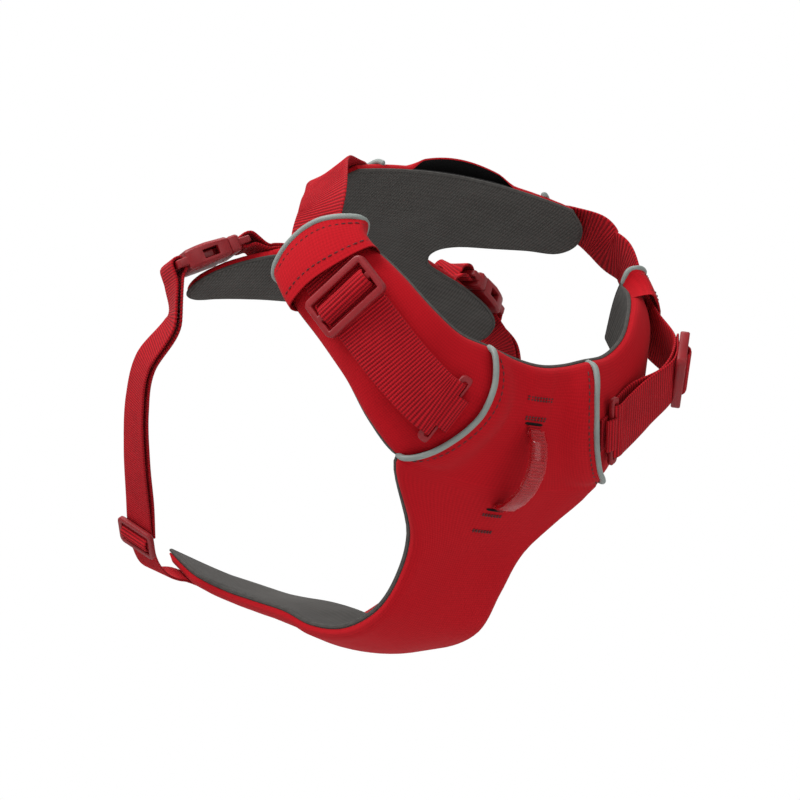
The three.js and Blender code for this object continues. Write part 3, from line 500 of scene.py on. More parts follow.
SHELL_LOW, SHELL, ON_SHELL = 5.3, 1.0, 6.6      # heights over the lining's inner side
LAYER = 1.8                                     # from one layer of webbing to the next
INNER = ON_SHELL + WEB / 2
RETURN = INNER + LAYER
PIPING = 3.0
SIDES = (("right", -1), ("left", 1))

COLLAR_HALF = np.array([
    [(117, 0, -2), (110, 0, -20), (99, 0, -38), (86, 0, -55)],
    [(116, 15, 0), (111, 15, -20), (98, 21, -38), (85, 30, -52)],
    [(115, 29, 4), (112, 30, -21), (98, 43, -38), (83, 59, -46)],
    [(113, 44, 9), (105, 55, -7), (94, 66, -20), (80, 73, -30)],
    [(110, 58, 20), (102, 70, 8), (90, 80, -2), (76, 83, -10)],
    [(102, 70, 36), (95, 82, 28), (81, 90, 20), (66, 92, 10)],
    [(93, 78, 48), (85, 89, 43), (71, 96, 36), (56, 99, 26)],
    [(85, 82, 54), (76, 89, 61), (61, 96, 55), (47, 101, 38)],
], float)
COLLAR = np.concatenate([COLLAR_HALF[:0:-1], COLLAR_HALF * (1, -1, 1)])
COLLAR_ROWS = [COLLAR[:, k] for k in range(4)]
STATIONS = len(COLLAR) - 1
COVER_STATION = 2
BELLY = np.array([
    [(58, -36, -80), (54, 0, -83), (56, 36, -81)],
    [(42, -31, -98), (38, 0, -102), (40, 33, -100)],
    [(24, -30, -112), (21, 0, -118), (23, 33, -117)],
    [(-6, -30, -119), (-8, 0, -125), (-5, 32, -121)],
    [(-36, -31, -115), (-37, 0, -121), (-36, 31, -115)],
    [(-58, -33, -106), (-60, 0, -114), (-62, 33, -109)],
    [(-86, -35, -98), (-88, 0, -104), (-90, 34, -100)],
    [(-114, -36, -90), (-116, 0, -97), (-118, 35, -93)],
    [(-146, -37, -78), (-148, 0, -87), (-150, 36, -87)],
    [(-176, -35, -62), (-179, 0, -72), (-182, 35, -80)],
], float)
BACK_RIBS = np.array([
    [(58, 0, 106), (59, -66, 99), (60, 69, 99)],
    [(50, 0, 104), (51, -72, 95.5), (51, 82, 93)],
    [(42, 0, 101), (38, -75, 92), (38, 88, 88)],
    [(34, 0, 98), (27, -73, 89.5), (27, 85, 86)],
    [(26, 0, 95), (20, -66, 88), (20, 70, 87)],
    [(18, 0, 93), (13, -52, 87), (13, 52, 87)],
    [(9, 0, 91.5), (5, -34, 87), (5, 34, 87)],
    [(0, 0, 90), (-3, -27, 86), (-3, 27, 86)],
    [(-10, 0, 87), (-12, -26, 84), (-11, 26, 84)],
    [(-20, 0, 84), (-21, -30, 81), (-19, 31, 81)],
    [(-28, 0, 81), (-29, -44, 78), (-26, 47, 78)],
    [(-36, 0, 78), (-36, -63, 74), (-32, 67, 74)],
    [(-44, 0, 75), (-44, -82, 67), (-38, 87, 66)],
    [(-52, 0, 72), (-54, -91, 61), (-47, 97, 60)],
    [(-60, 0, 70), (-65, -91, 57), (-58, 97, 55)],
    [(-68, 0, 67), (-73, -82, 57), (-68, 88, 55)],
    [(-75, 0, 65), (-76, -66, 60), (-74, 69, 59)],
], float)


def rib_line(t):
    """The line through all ribs at one place across the back, from -1 right to 1 left."""
    end = BACK_RIBS[:, 1 if t < 0 else 2]
    spine = BACK_RIBS[:, 0]
    share = t * t
    x = spine[:, 0] + (end[:, 0] - spine[:, 0]) * share
    z = spine[:, 2] + (end[:, 2] - spine[:, 2]) * share
    return np.stack([x, end[:, 1] * abs(t), z], 1)


BACK_ROWS = [rib_line(t) for t in (-1, -0.5, 0, 0.5, 1)]


def on_arm(side, station, v, height=0.0):
    found = Place(COLLAR_ROWS, 0.5 - side * station / STATIONS, v, height)
    found.to_tip = found.along * -side
    return found


def on_back(u, v, height=0.0):
    found = Place(BACK_ROWS, u, v, 0)
    found.up = found.normal if found.normal[2] > 0 else -found.normal
    found.to_rear = found.along
    found.to_left = -np.cross(found.up, found.to_rear)
    found.point = found.point + found.up * height
    return found


def flat_top(v):
    return min(1.0, 2.2 * math.sin(math.pi * v))


def eased(x):
    x = np.clip(x, 0, 1)
    return x * x * (3 - 2 * x)


# ---------- chest pad, arm cloth and chest cover ----------

TOP = SHELL_LOW + SHELL


def crowned(distance):
    """0 at a free edge to 1 inside it, along a quarter circle."""
    x = np.clip(distance / EDGE, 0, 1)
    return np.sqrt(np.maximum(1 - (1 - x) ** 2, 0))


def spread(count):
    """Places from 0 to 1, closer together at both ends."""
    return (1 - np.cos(np.pi * np.arange(count + 1) / count)) / 2


arm_end = 0.5 - COVER_STATION / STATIONS
ARM_CELLS, MIDDLE_CELLS, BELLY_CELLS = 60, 44, 80
arm_u = arm_end * (1 - np.cos(np.pi * np.arange(ARM_CELLS) / ARM_CELLS / 2))
middle_u = arm_end + (1 - 2 * arm_end) * spread(MIDDLE_CELLS)
all_u = np.concatenate([arm_u, middle_u, (1 - arm_u)[::-1]])
FIRST, LAST = ARM_CELLS, ARM_CELLS + MIDDLE_CELLS
across_v = spread(28)
collar = grid(COLLAR_ROWS, all_u, across_v)
above = grid(COLLAR_ROWS, all_u, [5 / 6])[0]
columns = np.arange(FIRST, LAST + 1)
share = (all_u[columns] - all_u[FIRST]) / (all_u[LAST] - all_u[FIRST])
belly_stations = np.array([curve(line, 1 - share) for line in BELLY])
belly_places = (1 + np.arange(1, BELLY_CELLS + 1) / BELLY_CELLS * len(BELLY)) / (len(BELLY) + 1)
belly = np.array([curve(np.vstack([above[c], collar[-1, c], belly_stations[:, k]]), belly_places)
                  for k, c in enumerate(columns)]).transpose(1, 0, 2)
numbers = np.arange(collar.shape[0] * collar.shape[1]).reshape(collar.shape[:2])
belly_numbers = numbers.size + np.arange(belly.shape[0] * belly.shape[1]).reshape(belly.shape[:2])
joined = np.vstack([numbers[-1:, FIRST:LAST + 1], belly_numbers])
chest_points = np.vstack([collar.reshape(-1, 3), belly.reshape(-1, 3)])
chest_quads = np.vstack([quads_of(numbers), quads_of(joined)])
chest_normals = normals_of(chest_points, chest_quads)
chest_rim = chest_points[sorted({i for edge in rim_of(chest_quads) for i in edge})]
chest_away = distance_to(chest_points, chest_rim)
chest_crown = crowned(chest_away)


def arc_uv(points_grid):
    """Flat lengths along and across a grid of points, in mm."""
    along = reached(points_grid[len(points_grid) // 2])
    down = reached(points_grid[:, points_grid.shape[1] // 2])
    return np.stack(np.broadcast_arrays(along[None, :], down[:, None]), -1).reshape(-1, 2)


collar_uv = arc_uv(collar)
belly_uv = arc_uv(np.concatenate([collar[-1:, FIRST:LAST + 1], belly]))[len(columns):]
belly_uv = belly_uv + (collar_uv.reshape(*collar.shape[:2], 2)[-1, FIRST])
chest_uv = np.vstack([collar_uv, belly_uv])

soft_dents = rippled(chest_points, 34, 1) * 0.6 + rippled(chest_points, 14, 2) * 0.3
puff = 0.9 * eased(chest_away / 16) + soft_dents
outer_height = MIDDLE + (TOP + puff - MIDDLE) * chest_crown
nap = 0.2 + rippled(chest_points, 28, 3) * 0.8
inner_height = 0.5 * (1 - chest_crown) - nap * chest_crown
pad_top = outer_height - 1.15
pad_outer = chest_points + chest_normals * np.maximum(pad_top, inner_height + 0.3)[:, None]
pad_inner = chest_points + chest_normals * inner_height[:, None]
pad_mesh, pad_faces = skin(pad_outer, pad_inner, chest_quads)
chest_pad = piece("chest_pad", pad_mesh, pad_faces, [lining_cloth], stands_for=(
    "chest_panel_lining", "chest_panel_foam"), slot="lining", uvs=np.vstack([chest_uv, chest_uv]))
binding("chest_pad_edge", chest_points, chest_normals, chest_quads)


def cloth_over(name, keep, heights, stands_for, thick=0.9, points=chest_points, normals=chest_normals,
               quads=chest_quads, uv=chest_uv, painted_shade_mask=None):
    """A layer of outer cloth over some cells of a panel."""
    cells = quads[keep]
    used, renumbered = np.unique(cells, return_inverse=True)
    cells = renumbered.reshape(-1, 4)
    outer = points[used] + normals[used] * heights[used][:, None]
    inner = points[used] + normals[used] * (heights[used] - thick)[:, None]
    mesh, faces = skin(outer, inner, cells)
    surfaces[name] = BVHTree.FromPolygons([tuple(p) for p in outer],
                                          [tuple(int(i) for i in c) for c in cells])
    kinds = None
    # inner faces where the mask is set get the near-black painted shade
    if painted_shade_mask is not None:
        under = painted_shade_mask[used][cells].mean(1) > 0.02
        kinds = [0] * len(cells) + [int(k) for k in under] + [0] * (len(faces) - 2 * len(cells))
    made = piece(name, mesh, faces, [shell_cloth, painted_shade_cloth], stands_for=(stands_for,), slot="shell",
                 uvs=np.vstack([uv[used], uv[used]]), kinds=kinds)


collar_cells = (len(all_u) - 1) * (len(across_v) - 1)
cell_column = np.arange(len(chest_quads)) % (len(all_u) - 1)
is_collar = np.arange(len(chest_quads)) < collar_cells
for name, side in SIDES:
    keep = is_collar & ((cell_column < FIRST) if side > 0 else (cell_column >= LAST))
    cloth_over(f"arm_cloth_{name}", keep, outer_height, f"arm_shell_{name}")

COVER_RISE, LEAST_RISE = 3.3, 1.4
vertex_u = np.concatenate([np.tile(all_u, len(across_v)), np.tile(all_u[columns], len(belly))])
vertex_v = np.concatenate([np.repeat(across_v, len(all_u)), np.ones(belly.shape[0] * len(columns))])
from_seam = np.minimum(vertex_u - all_u[FIRST], all_u[LAST] - vertex_u) * STATIONS
lift_share = eased(1 - from_seam)
on_belly = np.arange(len(chest_points)) >= numbers.size
rise = np.array([max(COVER_RISE * flat_top(v), LEAST_RISE) for v in vertex_v])
rise = np.where(on_belly, LEAST_RISE * 0.4, rise)
# a folded strip of cloth runs down the middle to the leash loop and shows as two faint seams
strip = (1 - eased((np.abs(chest_points[:, 1]) - 6.2) / 1.4)) * (1 - eased((-33 - chest_points[:, 2]) / 3))
cover_height = outer_height + 0.35 + rise * lift_share + strip * 0.9 * chest_crown
cover_keep = ~is_collar | ((cell_column >= FIRST) & (cell_column < LAST))
cloth_over("chest_cover_cloth", cover_keep, cover_height, "chest_cover", thick=1.0)


def near_edge_height(v, top):
    """Height of cloth over an arm at a place across it, coming down to the seam at both edges."""
    crown = min(1.0, 2.6 * math.sin(math.pi * min(max(v, 0.0), 1.0)))
    return MIDDLE + (top - MIDDLE) * math.sqrt(max(1 - (1 - crown) ** 2, 0))


TRIM_V = [0.0, 0.04, 0.12, 0.25, 0.4, 0.5, 0.6, 0.75, 0.88, 0.96, 1.0]
TRIM_STITCH_INSET = 3.4
for name, side in SIDES:
    spots = [on_arm(side, COVER_STATION, v, near_edge_height(v, TOP + 1.2 + COVER_RISE)) for v in TRIM_V]
    line = [p.point + p.to_tip * (PIPING / 2 - 0.4) for p in spots]
    rope(f"chest_trim_{name}", line, PIPING, trim_tape, [p.normal for p in spots],
         stands_for=(f"chest_piping_{name}",), slot="piping")
    row = [on_arm(side, COVER_STATION, v, TOP + COVER_RISE)
           for v in (0.05, 0.15, 0.3, 0.45, 0.6, 0.75, 0.88, 0.96)]
    stitches(f"chest_trim_stitches_{name}",
             [on_cloth("chest_cover_cloth", [p.point - p.to_tip * TRIM_STITCH_INSET for p in row])])

# ---------- tip covers ----------

TIP_RISE, TIP_STATION, TIP_END = 5.95, 7.0, 5.85
TIP_TOP = ON_SHELL + TIP_RISE + SHELL
for name, side in SIDES:
    vs = spread(26)
    stations = np.linspace(TIP_STATION, TIP_END, 15)
    rows, rows_in, uv = [], [], []
    for v in vs:
        for s in stations:
            top = TIP_TOP - 0.7 * eased((s - 6.6) / 0.4)
            spot = on_arm(side, s, v, 0)
            height = near_edge_height(v, top) + 0.5
            rows.append(spot.point + spot.normal * height)
            rows_in.append(spot.point + spot.normal * (height - 0.9))
            uv.append((s * 16.0, v * 50.0))
    rows, rows_in = np.array(rows), np.array(rows_in)
    wrinkle = rippled(rows, 17, 5 + side) * 0.35
    order = np.arange(len(rows)).reshape(len(vs), len(stations))
    if side > 0:
        order = order[:, ::-1]
    cells = quads_of(order)
    facing = normals_of(rows, cells)
    if facing.mean(0) @ on_arm(side, 6.4, 0.5).normal < 0:
        cells = cells[:, ::-1]
        facing = -facing
    mesh, faces = skin(rows + facing * wrinkle[:, None], rows_in + facing * wrinkle[:, None], cells)
    cover = piece(f"tip_cover_cloth_{name}", mesh, faces, [shell_cloth],
                  stands_for=(f"arm_tip_cover_{name}",), slot="shell", uvs=np.array(uv + uv))
    spots = [on_arm(side, TIP_STATION, v, near_edge_height(v, TIP_TOP - 0.7) + 0.1) for v in TRIM_V]
    rope(f"tip_trim_{name}", [p.point + p.to_tip * 1.2 for p in spots], PIPING, trim_tape,
         [p.normal for p in spots], stands_for=(f"arm_tip_piping_{name}",), slot="piping")
    runs = []
    for station, drop in ((6.78, 0.55), (6.06, 0.0)):
        row = [on_arm(side, station, v, near_edge_height(v, TIP_TOP - drop) + 0.55) for v in
               (0.05, 0.12, 0.25, 0.4, 0.5, 0.6, 0.75, 0.88, 0.95)]
        runs.append(([p.point for p in row], [p.normal for p in row]))
    stitches(f"tip_cover_stitches_{name}", runs)

# ---------- back panel ----------

POCKET_DEPTH, POCKET_HALF, POCKET_LIFT = 4.0, 34.0, 6.0
back_u = spread(96)
back_t = np.sin(np.linspace(-np.pi / 2, np.pi / 2, 91))
back_grid = np.array([curve(rib_line(t), back_u) for t in back_t]).transpose(1, 0, 2)
back_points = back_grid.reshape(-1, 3)
back_quads = quads_of(np.arange(len(back_points)).reshape(back_grid.shape[:2]))
back_normals = normals_of(back_points, back_quads)
back_rim = back_points[sorted({i for edge in rim_of(back_quads) for i in edge})]
back_away = distance_to(back_points, back_rim)
back_crown = crowned(back_away)
back_uv = back_points[:, :2]
back_dents = rippled(back_points, 36, 7) * 0.5 + rippled(back_points, 15, 8) * 0.2
back_outer = MIDDLE + (TOP + 0.7 * eased(back_away / 16) + back_dents - MIDDLE) * back_crown
rib_at = np.repeat(back_u, len(back_t)) * (len(BACK_RIBS) - 1)
inward = np.clip(1 - rib_at / POCKET_DEPTH, 0, 1)
sideways = np.clip(1 - np.abs(back_points[:, 1]) / POCKET_HALF, 0, 1)
lift = POCKET_LIFT * np.sqrt(inward) * np.sin(np.pi / 2 * sideways)
# at the pocket's mouth the cloth doesn't come down to the seam
mouth = eased(sideways * 3.0) * eased(inward * 1.3)
shell_height = np.where(mouth > 0, back_outer * (1 - mouth) + (TOP + 0.2) * mouth, back_outer) + lift
foam_top = np.where(back_crown > 0, back_outer, MIDDLE) - 1.15
lining_height = 0.5 * (1 - back_crown) - (0.2 + rippled(back_points, 28, 9) * 0.8) * back_crown
mesh, faces = skin(back_points + back_normals * np.maximum(foam_top, lining_height + 0.3)[:, None],
                   back_points + back_normals * lining_height[:, None], back_quads)
binding("back_pad_edge", back_points, back_normals, back_quads)
# the pad's top, seen only through the pocket's mouth, is near-black painted shade
back_pad = piece("back_pad", mesh, faces, [lining_cloth, painted_shade_cloth], stands_for=(
    "back_panel_lining", "back_panel_foam"), slot="lining", uvs=np.vstack([back_uv, back_uv]),
    kinds=[1] * len(back_quads) + [0] * (len(faces) - len(back_quads)))
# under the pocket's mouth the shell's inner side is near-black painted shade
cloth_over("back_cloth", np.ones(len(back_quads), bool), shell_height, "back_panel_shell", points=back_points,
           normals=back_normals, quads=back_quads, uv=back_uv, painted_shade_mask=mouth)

for name, side in SIDES:
    v = 0.5 + side * 0.37
    us = [0.0, 0.02, 0.06, 0.12, 0.18, 0.235]
    spots = [on_back(u, v, TOP + PIPING / 2 - 0.1 - 2.5 * (u < 0.01)) for u in us]
    rope(f"yoke_trim_{name}", [p.point for p in spots], PIPING, trim_tape,
         [p.up for p in spots], stands_for=(f"yoke_piping_{name}",), slot="piping")
    row = [on_back(u, v - side * 0.03, TOP + 0.55) for u in us[1:]]
    stitches(f"yoke_trim_stitches_{name}", [([p.point for p in row], [p.up for p in row])])

# ---------- neck straps ----------

RING_STATION, RING_THICK, RING_BAR, RING_WINDOW = 2.42, 2.6, 2.6, 4.4
FOLD = (RING_THICK + WEB) / 2 + 0.6
RING_HEIGHT = INNER + FOLD
NECK_WEB, GIRTH_WEB = 30.0, 20.0
YOKE_SEWN = {"right": [(0.15, 0.37, 1.6), (0.12, 0.41, 1.4), (0.092, 0.455, 1.2)],
             "left": [(0.15, 0.37, 1.6), (0.12, 0.41, 1.4), (0.092, 0.46, 1.2)]}
NECK_RUN = {"right": [(52, -80, 98.5), (60, -87.5, 90), (69, -95, 77)],
            "left": [(52.5, 92, 92), (57, 97.5, 83.5), (65, 100, 76)]}
NECK_RUN_ACROSS = {"right": [(0.96, 0.1, 0.25), (0.94, 0.22, 0.24), (0.9, 0.34, 0.24)],
                   "left": [(0.96, -0.1, 0.25), (0.94, -0.22, 0.24), (0.9, -0.34, 0.24)]}
SLIDER_STATION = {"right": 5.1, "left": 4.5}
SLIDER_BAR, SLIDER_THICK = 3.5, 3.4
SLIDER_SINK, SLIDER_SWELL = 0.9, 0.45   # how far a neck slider sits down, and how much thicker it is
NEARER = 0.6                            # how much of its length the far half of a chest ring keeps
STRAP_BOW = {"right": 0, "left": 13}


def bow_at(name, station):
    return STRAP_BOW[name] * math.sin(math.pi * min(max((5.75 - station) / 2.6, 0), 1))


def arm_line(name, side, stations):
    return [on_arm(side, s, 0.5, h + bow_at(name, s)) for s, h in stations]


def flat_on(place, way):
    way = np.asarray(way, float)
    return unit(way - place.up * (way * place.up).sum())


def wrap(name, origin, x_axis, y_axis, z_axis, width, bar, thick):
    """The webbing that humps over the named slider's middle bar and shows in its windows."""
    top = thick / 2 + WEB / 2 + 0.5
    foot = bar / 2 + WEB / 2 + 1.6
    line = [(-foot - 0.5, -thick / 2 + 0.3), (-foot, 0.4), (-bar / 2 - 0.6, top - 0.5), (0, top),
            (bar / 2 + 0.6, top - 0.5), (foot, 0.4), (foot + 0.5, -thick / 2 + 0.3)]
    centres = [origin + y_axis * y + z_axis * z for y, z in line]
    ribbon(name.replace("slider", "slider_webbing"), centres, [x_axis] * len(line), width, web_cloth, rib=0.2,
           body=name, stands_for=(name.replace("slider", "slider_wrap"),), slot="webbing")


for name, side in SIDES:
    ring = on_arm(side, RING_STATION, 0.5, RING_HEIGHT)
    down = arm_line(name, side, [(6.9, 8.6), (6.3, INNER + 0.3), (5.6, INNER), (4.8, INNER),
                                 (4, INNER), (3.3, INNER)])
    bar_centre = ring.point + ring.to_tip * (RING_WINDOW + RING_BAR) / 2
    turn = RING_BAR / 2 + WEB / 2 + 0.5
    fold = [(6, -FOLD), (0.4, -FOLD), (-0.8 * turn, -0.72 * FOLD), (-turn - 0.2, 0),
            (-0.8 * turn, 0.72 * FOLD), (0.4, FOLD), (6, FOLD - 0.3)]
    top = SLIDER_STATION[name] + 0.36
    again = arm_line(name, side, [(3.5, RETURN + 0.5), ((3.5 + top) / 2, RETURN), (top - 0.4, RETURN),
                                  (top, RETURN)])
    sewn = [on_back(u, 0.5 + side * v, ON_SHELL + r) for u, v, r in YOKE_SEWN[name]]
    centres = ([p.point for p in sewn] + [np.array(p, float) for p in NECK_RUN[name]]
               + [p.point for p in down]
               + [bar_centre + ring.to_tip * a + ring.normal * h for a, h in fold]
               + [p.point for p in again])
    heading = sewn[-1].point - sewn[0].point
    level = unit(np.cross(heading, sewn[0].up))
    level = level * np.sign(level[0])
    acrosses = ([flat_on(p, level) for p in sewn] + [unit(a) for a in NECK_RUN_ACROSS[name]]
                + [-p.across for p in down] + [-ring.across] * len(fold) + [-p.across for p in again])
    ribbon(f"neck_webbing_{name}", centres, acrosses, NECK_WEB, web_cloth, rib=0.15,
           stands_for=(f"neck_strap_{name}",), slot="webbing")
    rows = []
    for share in (0.2, 0.45):
        spot = sewn[0].point * (1 - share) + sewn[1].point * share + sewn[0].up * (WEB / 2 + 0.25)
        rows.append(([spot + level * a for a in (-12, 0, 12)], [sewn[0].up] * 3))
    stitches(f"neck_webbing_stitches_{name}", rows)

    def shorter(co, bar_centre=bar_centre, ring=ring):
        """The ring's far half lies close behind the strap, under the edge of the chest cover."""
        reach = (np.array(co) / MM + (0, 0, WITHERS) - bar_centre) @ ring.to_tip
        return co + Vector(ring.to_tip * (-reach * (1 - NEARER))) * MM if reach < -RING_BAR else co

    hard(f"chest_ring_{name}", HARNESS, 0.7, shape=shorter)

    far_bar = bar_centre - ring.to_tip * (RING_WINDOW + RING_BAR) * NEARER
    tab = [(-6, -FOLD), (-0.4, -FOLD), (0.8 * turn, -0.72 * FOLD), (turn + 0.2, 0),
           (0.7 * turn, 0.7 * FOLD), (-0.6, 0.9 * FOLD), (-5, 0.2 * FOLD)]
    ribbon(f"ring_tab_webbing_{name}", [far_bar + ring.to_tip * a + ring.normal * h for a, h in tab],
           [-ring.across] * len(tab), 18, web_cloth, rib=0.15, stands_for=(f"ring_tab_{name}",),
           slot="webbing")

    station = SLIDER_STATION[name]
    on_strap = RETURN + WEB / 2 + 0.9 + bow_at(name, station)
    at = on_arm(side, station, 0.5, on_strap + SLIDER_THICK / 2)
    down_by = unit(at.normal)

    def seated(co, at=at, down_by=down_by):
        """The frame sits down on the strap and is thick and round."""
        p = np.array(co) / MM + (0, 0, WITHERS) - at.point
        return co + Vector(down_by * ((p @ down_by) * SLIDER_SWELL - SLIDER_SINK)) * MM

    hard(f"neck_slider_{name}", f"neck_slider_{name}", 1.3, shape=seated)
    wrap(f"neck_slider_{name}", at.point, at.across, np.cross(at.normal, at.across), at.normal,
         NECK_WEB - 0.4, SLIDER_BAR, SLIDER_THICK)

# ---------- buckles ----------

BUCKLE = {"right": ((-47.7, -68.7, 85), (-55.9, -107.9, 66.5), (-0.1, -0.4, 0.9)),
          "left": ((-39, 65, 86.3), (-58.5, 100, 72.7), (-0.05, 0.35, 0.95))}
TAB_SEWN = {"right": (0.74, 0.2), "left": (0.72, 0.79)}
SOCKET_START, SOCKET_END = 13.3, 41.0
SOCKET_FACE, SOCKET_DOME, SOCKET_HALF = 2.6, 2.6, 17    # the outer face's height, its dome, half its width
buckle_axes = {}
for name, side in SIDES:
    start, end, out = (np.array(p, float) for p in BUCKLE[name])
    x_axis = unit(end - start)
    y_axis = unit(np.cross(out, x_axis))
    z_axis = np.cross(x_axis, y_axis)
    buckle_axes[name] = (start, x_axis, y_axis, z_axis)

    def local(x, y, z, start=start, x_axis=x_axis, y_axis=y_axis, z_axis=z_axis):
        return start + x_axis * x + y_axis * y + z_axis * z

    def domed(co, start=start, x_axis=x_axis, y_axis=y_axis, z_axis=z_axis):
        """The female half's outer face swells in the middle, as the real one does."""
        p = np.array(co) / MM + (0, 0, WITHERS) - start
        x, y, z = p @ x_axis, p @ y_axis, p @ z_axis
        if z > SOCKET_FACE and SOCKET_START - 0.5 < x < SOCKET_END:
            along = (x - SOCKET_START) / (SOCKET_END - SOCKET_START)
            swell = SOCKET_DOME * math.sin(math.pi * min(max(along, 0), 1)) * (1 - (y / SOCKET_HALF) ** 2)
            return co + Vector(z_axis * swell) * MM
        return co

    hard(f"male_clip_{name}", HARNESS, 0.6)
    hard(f"front_prong_{name}", f"front_prong_{name}", 0.4)
    hard(f"rear_prong_{name}", f"rear_prong_{name}", 0.4)
    hard(f"female_socket_{name}", f"female_socket_{name}", 0.7, shape=domed)

    u, v = TAB_SEWN[name]
    sewn = [on_back(u, v + side * s, ON_SHELL + WEB / 2 + 0.4 + r)
            for s, r in ((-0.07, 0), (0, 0), (0.05, 0.6))]
    folded = [on_back(u, v + side * s, ON_SHELL + WEB / 2 + 0.4 + r)
              for s, r in ((0.05, 3.2), (0, LAYER + 0.2), (-0.06, LAYER + 0.1))]
    loop = [(-3, -3.7), (2.4, -3.1), (4.4, -1.6), (4.5, 0), (4.4, 1.6), (2.4, 3.1), (-3, 3)]
    centres = [p.point for p in sewn] + [local(x, 0, z) for x, z in loop] + [p.point for p in folded]
    acrosses = ([flat_on(p, y_axis) for p in sewn] + [y_axis] * len(loop)
                + [flat_on(p, y_axis) for p in folded])
    ribbon(f"buckle_tab_webbing_{name}", centres, acrosses, GIRTH_WEB, fine_web_cloth, rib=0.12, pitch=1.5,
           stands_for=(f"buckle_tab_{name}",), slot="webbing")
    runs = []
    for p in [on_back(u, v + side * s, ON_SHELL + WEB * 1.5 + 2.4) for s in (-0.045, -0.012)]:
        way = flat_on(p, y_axis)
        runs.append(([p.point - way * 8, p.point, p.point + way * 8], [p.up] * 3))
    stitches(f"buckle_tab_stitches_{name}", runs)

# ---------- girth straps ----------

GIRTH_RUN = {
    "right": [((-56.5, -106.5, 40), (-0.2, -0.95, 0.2)), ((-75, -113, 19), (-0.1, -1, 0)),
              ((-90, -109, -1), (0, -1, -0.1)), ((-107, -99, -25), (0, -0.95, -0.3)),
              ((-124, -87, -46), (0, -0.9, -0.45)), ((-138, -77, -62), (0, -0.85, -0.55)),
              ((-148, -68, -71), (0, -0.8, -0.6)), ((-157, -57, -77), (-0.1, -0.6, -0.8)),
              ((-163, -46, -78.5), (-0.3, -0.35, -0.9)), ((-167, -35, -78), (-0.45, -0.25, -0.86)),
              ((-167, -22, -81.5), (-0.45, -0.25, -0.86))],
    "left": [((-54, 112, 51), (-0.1, 0.98, 0.1)), ((-58, 116, 24), (0, 1, 0)),
             ((-73, 118, -6), (0, 1, 0)), ((-92, 116, -34), (0, 1, -0.1)),
             ((-112, 108, -60), (0, 0.95, -0.3)), ((-130, 98, -80), (0, 0.85, -0.5)),
             ((-144, 86, -93), (0, 0.75, -0.65)), ((-157, 71, -101), (0, 0.5, -0.85)),
             ((-167, 53, -100), (0, 0.2, -1)), ((-174, 34, -95), (0, -0.1, -1)),
             ((-176, 18, -90), (0, -0.25, -1))],
}
INNER_STEP, SLIDER_AT = 3.2, 5
GIRTH_SLIDER_THICK, GIRTH_SLIDER_BAR = 3.0, 2.8
for name, side in SIDES:
    start, x_axis, y_axis, z_axis = buckle_axes[name]
    run = np.array([p for p, _ in GIRTH_RUN[name]], float)
    ways = np.array([unit(run[min(i + 1, len(run) - 1)] - run[max(i - 1, 0)]) for i in range(len(run))])
    outs = np.array([o for _, o in GIRTH_RUN[name]], float)
    outs = unit(outs - ways * (outs * ways).sum(1, keepdims=True))
    level = unit(np.cross(ways, outs))
    if level[0] @ y_axis < 0:
        level = -level
    under = [(run[SLIDER_AT] - outs[SLIDER_AT] * 1.9 - ways[SLIDER_AT] * 2, level[SLIDER_AT])]
    under += [(run[i] - outs[i] * INNER_STEP, level[i]) for i in range(SLIDER_AT - 1, -1, -1)]
    loop = [(42, -5.6), (39.5, -3.4), (38.7, 0), (39.6, 3.1),
            (42.5, 3.9), (45.5, 2.2), (46.3, -2.5), (46.8, -7)]
    turned = [(start + x_axis * x + z_axis * z, y_axis) for x, z in loop]
    centres, acrosses = zip(*(under + turned + list(zip(run, level))))
    strap = ribbon(f"girth_webbing_{name}", centres, acrosses, GIRTH_WEB, fine_web_cloth, rib=0.12, pitch=1.5,
                   body=None, stands_for=(f"girth_strap_{name}",), slot="webbing")
    at, out, way = run[SLIDER_AT], outs[SLIDER_AT], ways[SLIDER_AT]
    centre = at + out * (WEB / 2 + 0.6 + GIRTH_SLIDER_THICK / 2)
    hard(f"girth_slider_{name}", f"girth_slider_{name}", 0.7)
    wrap(f"girth_slider_{name}", centre, unit(np.cross(way, out)), way, out, GIRTH_WEB - 0.2,
         GIRTH_SLIDER_BAR, GIRTH_SLIDER_THICK)
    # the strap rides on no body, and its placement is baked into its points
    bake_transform(strap)

# ---------- leash loop on the chest ----------

LOOP_LINE = np.array([(113.4, 0, -31), (116, 0, -35.5), (117.5, 0, -42), (116, 0, -52), (109.5, 0, -61),
                      (100, 0, -66.5), (90, 0, -68.5), (83, 0, -67)], float)
LOOP_WEB = 7.0
across = [np.array([0, 1.0, 0])] * len(LOOP_LINE)
ribbon("leash_loop_tape", LOOP_LINE, across, LOOP_WEB, web_cloth, rib=0.25,
       stands_for=("leash_loop_webbing",), slot="webbing")
line = curve(LOOP_LINE, np.linspace(0.12, 0.88, 49))
out = np.cross((0, 1, 0), unit(np.gradient(line, axis=0)))
# the tube's wall runs up its outside and back down its inside
TUBE_SIDES, TUBE_WALL, TUBE_ROOM_WIDE, TUBE_ROOM_DEEP = 20, 0.8, 0.7, 0.8
points = []
for wall in (TUBE_WALL, 0.0):
    for i in range(len(line))[::1 if wall else -1]:
        bulge = 1.0 + 0.05 * math.sin(i * 0.9)
        for k in range(TUBE_SIDES):
            angle = 2 * math.pi * k / TUBE_SIDES
            c, s = math.cos(angle), math.sin(angle)
            y = math.copysign(abs(c) ** 0.6, c) * (LOOP_WEB / 2 + TUBE_ROOM_WIDE + wall)
            z = math.copysign(abs(s) ** 0.8, s) * (WEB / 2 + TUBE_ROOM_DEEP + wall) * bulge
            points.append(line[i] + np.array([0, 1.0, 0]) * y + out[i] * z)
faces = tube_faces(2 * len(line), TUBE_SIDES, closed=True)
piece("leash_loop_tube", points, faces, [clear_vinyl], stands_for=("leash_loop_sleeve",), slot="sleeve")
